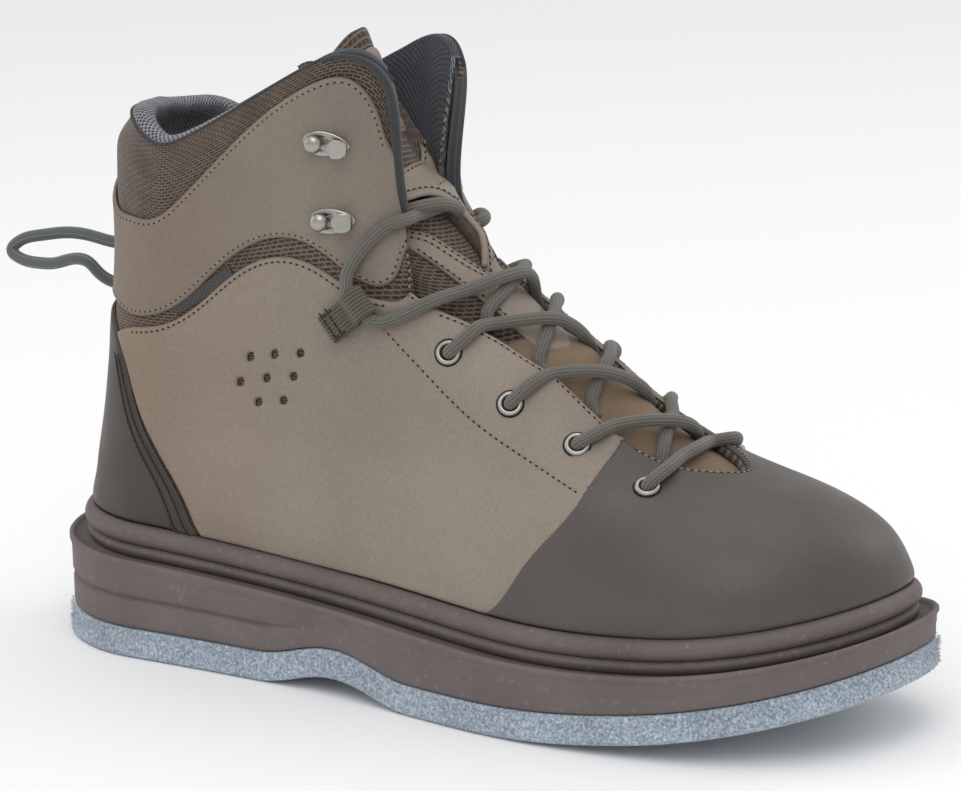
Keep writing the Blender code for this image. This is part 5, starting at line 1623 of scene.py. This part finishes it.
def makeLaces():
    radius = fittings["lace"] / 2
    section = circle(radius, 20)
    upper = [lacePoint(*p) for p in [
        ("M", 11.30, 0.86, -3.2), ("T", 11.85, 0.62, 2.0), ("T", 12.22, 0.30, 2.8), ("T", 12.38, 0.05, 2.9),
        ("T", 12.34, -0.18, 2.9),
        ("T", 12.28, -0.42, 3.4), ("L", 11.95, 0.850, 4.6), ("L", 11.62, 0.808, 4.4),
        ("L", 11.20, 0.752, 4.2), ("L", 10.80, 0.700, 4.6),
    ]]
    eye = [loopPoint(-1, *place) for place in throughEye]
    lower = [lacePoint(*p) for p in [
        ("L", 9.86, 0.735, 4.2), ("L", 10.02, 0.786, 4.6), ("T", 10.29, -0.529, 5.2),
        ("T", 10.39, -0.336, 6.0), ("T", 10.44, -0.12, 7.6),
        ("T", 10.38, 0.035, 8.2), ("T", 10.22, 0.19, 7.0), ("T", 10.02, 0.34, 3.6), ("M", 9.62, 0.86, -3.2),
    ]]
    tracks = {"laceTopOuter": upper + order(eye, upper[-1]) + lower}
    start = [lacePoint(*p) for p in [
        ("L", 12.42, 0.885, -3.2), ("T", 12.36, -0.58, 3.4), ("T", 12.42, -0.40, 5.6),
        ("T", 12.36, -0.15, 6.6), ("T", 12.16, 0.05, 5.6),
        ("T", 11.90, 0.28, 3.6), ("T", 11.55, 0.60, 3.0), ("M", 11.30, 0.865, 3.6), ("M", 11.10, 0.80, 4.2),
        ("M", 10.75, 0.71, 4.6),
    ]]
    eye = [loopPoint(1, *place) for place in throughEye]
    end = [lacePoint(*p) for p in [
        ("M", 9.92, 0.745, 4.2), ("M", 10.08, 0.82, 4.4), ("M", 10.22, 0.872, 3.9), ("T", 10.42, 0.12, 3.4),
        ("T", 10.36, -0.06, 3.2),
        ("T", 10.18, -0.25, 3.2), ("T", 9.95, -0.45, 2.6), ("L", 9.60, 0.875, -3.2),
    ]]
    tracks["laceTopInner"] = start + order(eye, start[-1]) + end
    for name, run in laceRuns.items():
        tracks[name] = [lacePoint(*p) for p in run]
    stands = {"laceBar": ["lace_crossing_1"], "laceStrand1": ["lace_crossing_2"],
              "laceStrand2": ["lace_crossing_3"],
              "laceStrand3": ["lace_crossing_4"]}
    for name, points in tracks.items():
        held = [loopPoint(side, 0.0, 0.0, 0.0) for side in (-1, 1)] if name.startswith("laceTop") else []
        strand = sweep(name, relaxed(smoothPath(points, 0.0011), held), section, ["lace"])
        settle(strand, "lace_cord", *stands.get(name, []))


def order(points, near):
    # The points from the end that lies near a place
    if np.linalg.norm(points[0] - near) > np.linalg.norm(points[-1] - near):
        return points[::-1]
    return points


makeLaces()
print("laces ready")

# Braided binding down the throat's edge of the flaps and a dark piping round the collar
trims = {"binding": [11.75, 15.0], "bindingWidth": 0.0036, "bindingThick": 0.0060, "bindingOver": 0.42,
         "piping": 0.0006}


def makeTrims():
    low, high = trims["binding"]
    for side, sideName in bothSides:
        levels = np.linspace(low, high, 110)
        turns = side * (throatEdgeSmooth(levels) - 0.004)
        # Past the flap's corner it thins out along the top edge
        over = np.linspace(0.0, 1.0, 45)
        levels = np.concatenate([levels, np.full(len(over), high)])
        turns = np.concatenate([turns, turns[-1] - side * (0.012 + trims["bindingOver"] * over)])
        middle = relaxed(skin(levels, turns, -0.0006), [], 220)
        outwards = outward(levels, turns)
        half = trims["bindingWidth"] / 2 * (1.0 if side < 0 else 0.45)
        deep = trims["bindingThick"] / 2 * (1.0 if side < 0 else 0.80)
        section = [(half * blunt(math.cos(a), 0.7), deep * blunt(math.sin(a), 0.7))
                   for a in np.arange(20) * 2 * pi / 20]
        ends = np.minimum(ease((levels - low) / 0.25), 1) * 0.5 + 0.5
        ends[-len(over):] *= 1 - 0.65 * over
        binding = sweep("flapBinding" + sideName, middle, section, ["binding"], outwards, scales=ends)
        settle(binding, "lining")
    turns = columns(float(throatEdge(topLevel)) + 0.01)
    path = skin(np.full(len(turns), topLevel), turns, -0.0004 - collarRound(topLevel, turns))
    path[:, 2] += 0.0004
    piping = sweep("collarPiping", path, circle(trims["piping"], 10), ["piping"])
    settle(piping, "lining")


def throatEdgeSmooth(levels):
    values = np.array([float(throatEdge(level)) for level in levels])
    for _ in range(6):
        values[1:-1] = (values[:-2] + values[1:-1] * 2 + values[2:]) / 4
    return values


makeTrims()
print("trims ready")

# Stitching: seam lines carry their outward direction, and one tree lays stitches and dark needle-hole marks
# along them, the marks painted shade between the stitches
stitching = {
    "pitch": 0.0024, "length": 0.0015, "width": 0.0007, "height": 0.0006, "holeLength": 0.0013,
    "holeWidth": 0.0008, "holeHeight": 0.00034, "inset": 0.0016,
    "panelTop": 0.0016, "padTop": 0.0013, "stripTop": 0.0022, "keeperTop": 0.0015,
    "boxFar": -0.0138, "boxNear": -0.0112, "boxHalf": 0.0042, "boxHeight": 0.0033, "grooveLevel": 0.405,
}
seamLines = {"tan": [], "dark": []}


def addSeam(kind, run, surface, height, inset=0.0, panel=None):
    line = through(run, 0.0008, surface)
    if inset:
        outline, factor = panel
        moved = beside(line, inset, surface)
        if insideLoop(moved * np.array(factor), outline * np.array(factor)).mean() < 0.5:
            moved = beside(line, -inset, surface)
        line = moved
    points = surface(line[:, 0], line[:, 1], height)
    above = surface(line[:, 0], line[:, 1], height + 0.001)
    seamLines[kind].append((points, (above - points) / np.linalg.norm(above - points, axis=1, keepdims=True)))


def stitchTree():
    tree = bpy.data.node_groups.new("stitchRow", "GeometryNodeTree")
    tree.interface.new_socket("Geometry", in_out="INPUT", socket_type="NodeSocketGeometry")
    for name in ("Pitch", "Length", "Width", "Height", "Shift"):
        tree.interface.new_socket(name, in_out="INPUT", socket_type="NodeSocketFloat")
    tree.interface.new_socket("Material", in_out="INPUT", socket_type="NodeSocketMaterial")
    tree.interface.new_socket("Geometry", in_out="OUTPUT", socket_type="NodeSocketGeometry")
    given = addNode(tree, "NodeGroupInput")
    curve = addNode(tree, "GeometryNodeMeshToCurve", links={"Mesh": (given, "Geometry")})
    spaced = addNode(tree, "GeometryNodeResampleCurve", {"mode": "LENGTH"},
                     {"Curve": (curve, "Curve"), "Length": (given, "Pitch")})
    ball = addNode(tree, "GeometryNodeMeshUVSphere", {"Segments": 6, "Rings": 4, "Radius": 0.5})
    size = addNode(tree, "CombineXYZ",
                   links={"X": (given, "Length"), "Y": (given, "Width"), "Z": (given, "Height")})
    shift = addNode(tree, "CombineXYZ", links={"X": (given, "Shift")})
    stitch = addNode(tree, "GeometryNodeTransform", links={
        "Geometry": (ball, "Mesh"), "Scale": (size, "Vector"), "Translation": (shift, "Vector")})
    tangent = addNode(tree, "GeometryNodeInputTangent")
    along = addNode(tree, "FunctionNodeAlignRotationToVector", {"axis": "X"},
                    {"Vector": (tangent, "Tangent")})
    outwards = addNode(tree, "GeometryNodeInputNamedAttribute",
                       {"data_type": "FLOAT_VECTOR", "Name": "outward"})
    standing = addNode(tree, "FunctionNodeAlignRotationToVector", {"axis": "Z", "pivot_axis": "X"},
                       {"Rotation": (along, "Rotation"), "Vector": (outwards, "Attribute")})
    laid = addNode(tree, "GeometryNodeInstanceOnPoints", links={
        "Points": (spaced, "Curve"), "Instance": (stitch, "Geometry"), "Rotation": (standing, "Rotation")})
    real = addNode(tree, "GeometryNodeRealizeInstances", links={"Geometry": (laid, "Instances")})
    smooth = addNode(tree, "GeometryNodeSetShadeSmooth", links={"Geometry": (real, "Geometry")})
    finish = addNode(tree, "GeometryNodeSetMaterial",
                     links={"Geometry": (smooth, "Geometry"), "Material": (given, "Material")})
    addNode(tree, "NodeGroupOutput", links={"Geometry": (finish, "Geometry")})
    return tree


def runTree(target, tree, values):
    # Inputs are set by the socket's identifier, and the result becomes a plain mesh
    modifier = target.modifiers.new(tree.name, "NODES")
    modifier.node_group = tree
    for item in tree.interface.items_tree:
        if item.in_out == "INPUT" and item.name in values:
            modifier[item.identifier] = values[item.name]
    bpy.context.view_layer.update()
    evaluated = target.evaluated_get(bpy.context.evaluated_depsgraph_get())
    mesh = bpy.data.meshes.new_from_object(evaluated)
    target.modifiers.clear()
    target.data = mesh
    return target


def seamObject(name, lines):
    points = np.concatenate([line[0] for line in lines])
    normals = np.concatenate([line[1] for line in lines])
    pairs = []
    first = 0
    for line in lines:
        count = len(line[0])
        pairs += [(first + k, first + k + 1) for k in range(count - 1)]
        first += count
    mesh = bpy.data.meshes.new(name)
    mesh.from_pydata([tuple(p) for p in points], pairs, [])
    layer = mesh.attributes.new("outward", "FLOAT_VECTOR", "POINT")
    layer.data.foreach_set("vector", normals.astype(np.float32).ravel())
    return linked(name, mesh)


def keeperSkin(level, share, high):
    return tongueSkin(level, share, high + keeperLift(np.asarray(level), np.asarray(share), 0))


def collectSeams():
    top = stitching["panelTop"]
    flat = stitching["padTop"]
    inset = stitching["inset"]
    for side, sideName in bothSides:
        panel = outlines["quarter" + sideName]
        addSeam("tan", onSide(edges["quarterTop"][1:-2], side), skin, top, inset, panel)
        addSeam("tan", throatRun(7.45, 9.95, side), skin, top, inset, panel)
        if side < 0:
            addSeam("tan", throatRun(10.05, 10.95, side, 0.020), skin, top, 0.0, panel)
        addSeam("tan", onSide([(9.85, 0.671), (8.70, 0.681), (7.60, 0.684), (6.75, 0.697), (5.80, 0.707)],
                              side), skin, top)
        panel = outlines["shaftPanel"]
        addSeam("tan", onSide(edges["shaftLow"][2:], side), skin, top, inset, panel)
        addSeam("tan", onSide(edges["shaftTop"][1:], side), skin, top, inset, panel)
        for shift in (0.30, 0.78):
            run = shifted(edges["counter"][:-1], -stripShare * shift)
            addSeam("dark", onSide(run, side), skin, stitching["stripTop"])
    addSeam("tan", onSide(edges["shaftLow"][:3][::-1], -1)[:-1] + onSide(edges["shaftLow"][:3], 1), skin, top,
            inset, outlines["shaftPanel"])
    panel = outlines["toeCap"]
    bend = [(6.95, 0.876 * pi), (6.58, 0.890 * pi), (6.35, 0.928 * pi), (6.18, 0.975 * pi), (6.13, pi),
            (6.18, 1.025 * pi), (6.35, 1.072 * pi), (6.58, 1.110 * pi), (6.95, 1.124 * pi)]
    addSeam("tan", bend, skin, top, inset * 0.9, panel)
    # Tongue
    keeper = outlines["keeper"]
    addSeam("tan", tonguePieces["keeper"][0][1:], keeperSkin, stitching["keeperTop"], 0.0022, keeper)
    addSeam("tan", tonguePieces["keeper"][4][:-1], keeperSkin, flat, 0.0014, keeper)
    addSeam("tan", [(12.72, -0.02), (12.76, 0.22), (12.84, 0.50)], keeperSkin, flat)
    addSeam("tan", [(11.02, 0.02), (11.06, 0.20), (11.12, 0.40)], keeperSkin, flat)
    lower = outlines["lowerPad"]
    addSeam("tan", tonguePieces["lowerPad"][0], tongueSkin, flat, 0.0013, lower)
    addSeam("tan", tonguePieces["lowerPad"][0], tongueSkin, flat, 0.0030, lower)
    addSeam("tan", tonguePieces["lowerPad"][4][1:-1], tongueSkin, flat, 0.0013, lower)
    addSeam("tan", tonguePieces["topPad"][0], tongueSkin, flat, 0.0015, outlines["topPad"])
    # The woven loops' sewn ends
    far, near, wide, high = (stitching[key] for key in ("boxFar", "boxNear", "boxHalf", "boxHeight"))
    for side in (-1, 1):
        matrix = eyeCentres[side][0]
        normal = np.array(matrix.to_3x3() @ Vector((0, 0, 1)))
        for (x0, y0), (x1, y1) in (((far, -wide), (far, wide)), ((near, -wide), (near, wide)),
                                   ((far, -wide), (near, -wide)), ((far, wide), (near, wide))):
            points = moved(matrix, [(x0 + (x1 - x0) * s, y0 + (y1 - y0) * s, high)
                                    for s in np.linspace(0, 1, 8)])
            seamLines["dark"].append((points, np.tile(normal, (8, 1))))
    # Welt groove, a thread sunk between its rolls
    ring = np.linspace(-pi * 0.999, pi * 0.999, 900)
    level = np.full(len(ring), stitching["grooveLevel"])
    groove = skin(level, ring, weltBase + upperSizes["weltThickness"] * 0.66)
    seamLines["dark"].append((groove, outward(level, ring)))


def makeStitches():
    collectSeams()
    tree = stitchTree()
    for kind, material in (("tan", "thread"), ("dark", "darkThread")):
        for part, long, width, height, shift, finish in (
                ("Threads", stitching["length"], stitching["width"], stitching["height"], 0.0, material),
                # The dark needle-hole marks, half a pitch along: painted shade between the stitches
                ("NeedleHoleShades", stitching["holeLength"], stitching["holeWidth"], stitching["holeHeight"],
                 stitching["pitch"] / 2, "needleHoleShade")):
            piece = seamObject(kind + part, seamLines[kind])
            runTree(piece, tree, {"Pitch": stitching["pitch"], "Length": long, "Width": width,
                                  "Height": height,
                                  "Shift": shift, "Material": finishes[finish]})
            settle(piece, "taupe_leather" if kind == "tan" else "dark_leather")


makeStitches()
print("stitches ready")


# Loose fibres on the felt's edge
feltFuzz = {"count": 7000, "long": 0.0012, "thick": 0.00012, "seed": 5}


def makeFuzz():
    tree = bpy.data.node_groups.new("feltFibres", "GeometryNodeTree")
    tree.interface.new_socket("Geometry", in_out="INPUT", socket_type="NodeSocketGeometry")
    for name in ("Length", "Thickness"):
        tree.interface.new_socket(name, in_out="INPUT", socket_type="NodeSocketFloat")
    tree.interface.new_socket("Count", in_out="INPUT", socket_type="NodeSocketInt")
    tree.interface.new_socket("Seed", in_out="INPUT", socket_type="NodeSocketInt")
    tree.interface.new_socket("Material", in_out="INPUT", socket_type="NodeSocketMaterial")
    tree.interface.new_socket("Geometry", in_out="OUTPUT", socket_type="NodeSocketGeometry")
    given = addNode(tree, "NodeGroupInput")
    curve = addNode(tree, "GeometryNodeMeshToCurve", links={"Mesh": (given, "Geometry")})
    spread = addNode(tree, "GeometryNodeResampleCurve", {"mode": "COUNT"},
                     {"Curve": (curve, "Curve"), "Count": (given, "Count")})
    cone = addNode(tree, "GeometryNodeMeshCone",
                   {"Vertices": 3, "Radius Top": 0.15, "Radius Bottom": 1.0, "Depth": 1.0})
    size = addNode(tree, "CombineXYZ",
                   links={"X": (given, "Thickness"), "Y": (given, "Thickness"), "Z": (given, "Length")})
    hair = addNode(tree, "GeometryNodeTransform",
                   links={"Geometry": (cone, "Mesh"), "Scale": (size, "Vector")})
    outwards = addNode(tree, "GeometryNodeInputNamedAttribute",
                       {"data_type": "FLOAT_VECTOR", "Name": "outward"})
    away = addNode(tree, "FunctionNodeRandomValue",
                   {"data_type": "FLOAT_VECTOR", 0: (-0.9, -0.9, -0.7), 1: (0.9, 0.9, 0.9)},
                   {"Seed": (given, "Seed")})
    lean = addNode(tree, "VectorMath", {"operation": "ADD"},
                   {0: (outwards, "Attribute"), 1: (away, "Value")})
    turn = addNode(tree, "FunctionNodeAlignRotationToVector", {"axis": "Z"}, {"Vector": (lean, "Vector")})
    jump = addNode(tree, "FunctionNodeRandomValue",
                   {"data_type": "FLOAT_VECTOR", 0: (-0.0003, -0.0003, -0.0039), 1: (0.0003, 0.0003, 0.0046)},
                   {"Seed": (given, "Seed")})
    moved = addNode(tree, "GeometryNodeSetPosition",
                    links={"Geometry": (spread, "Curve"), "Offset": (jump, "Value")})
    laid = addNode(tree, "GeometryNodeInstanceOnPoints", links={
        "Points": (moved, "Geometry"), "Instance": (hair, "Geometry"), "Rotation": (turn, "Rotation")})
    real = addNode(tree, "GeometryNodeRealizeInstances", links={"Geometry": (laid, "Instances")})
    finish = addNode(tree, "GeometryNodeSetMaterial",
                     links={"Geometry": (real, "Geometry"), "Material": (given, "Material")})
    addNode(tree, "NodeGroupOutput", links={"Geometry": (finish, "Geometry")})
    ring = np.linspace(-pi * 0.9999, pi * 0.9999, 1200)
    x, y = soleLoop(0.0006, ring)
    points = np.stack([x, y, ground(x) + soleSizes["felt"] * 0.5 + 0.0001], -1)
    wideX, wideY = soleLoop(0.0016, ring)
    normals = np.stack([wideX - x, wideY - y, 0 * x], -1) / 0.001
    fuzz = seamObject("feltFuzz", [(points, normals)])
    runTree(fuzz, tree, {"Length": feltFuzz["long"], "Thickness": feltFuzz["thick"],
                         "Count": feltFuzz["count"],
                         "Seed": feltFuzz["seed"], "Material": finishes["felt"]})
    settle(fuzz, "felt")


makeFuzz()
print("felt fibres ready")

# Plain floor
def makeFloor():
    material, shader = startMaterial("paleStudioFloor", 0.9)
    shader.inputs["Base Color"].default_value = (0.93, 0.93, 0.93, 1.0)
    finishes["floor"] = material
    corners = [(-6, -6, 0), (6, -6, 0), (6, 6, 0), (-6, 6, 0)]
    floor = meshObject("studioFloor", corners, [(0, 1, 2, 3)], ["floor"])


makeFloor()
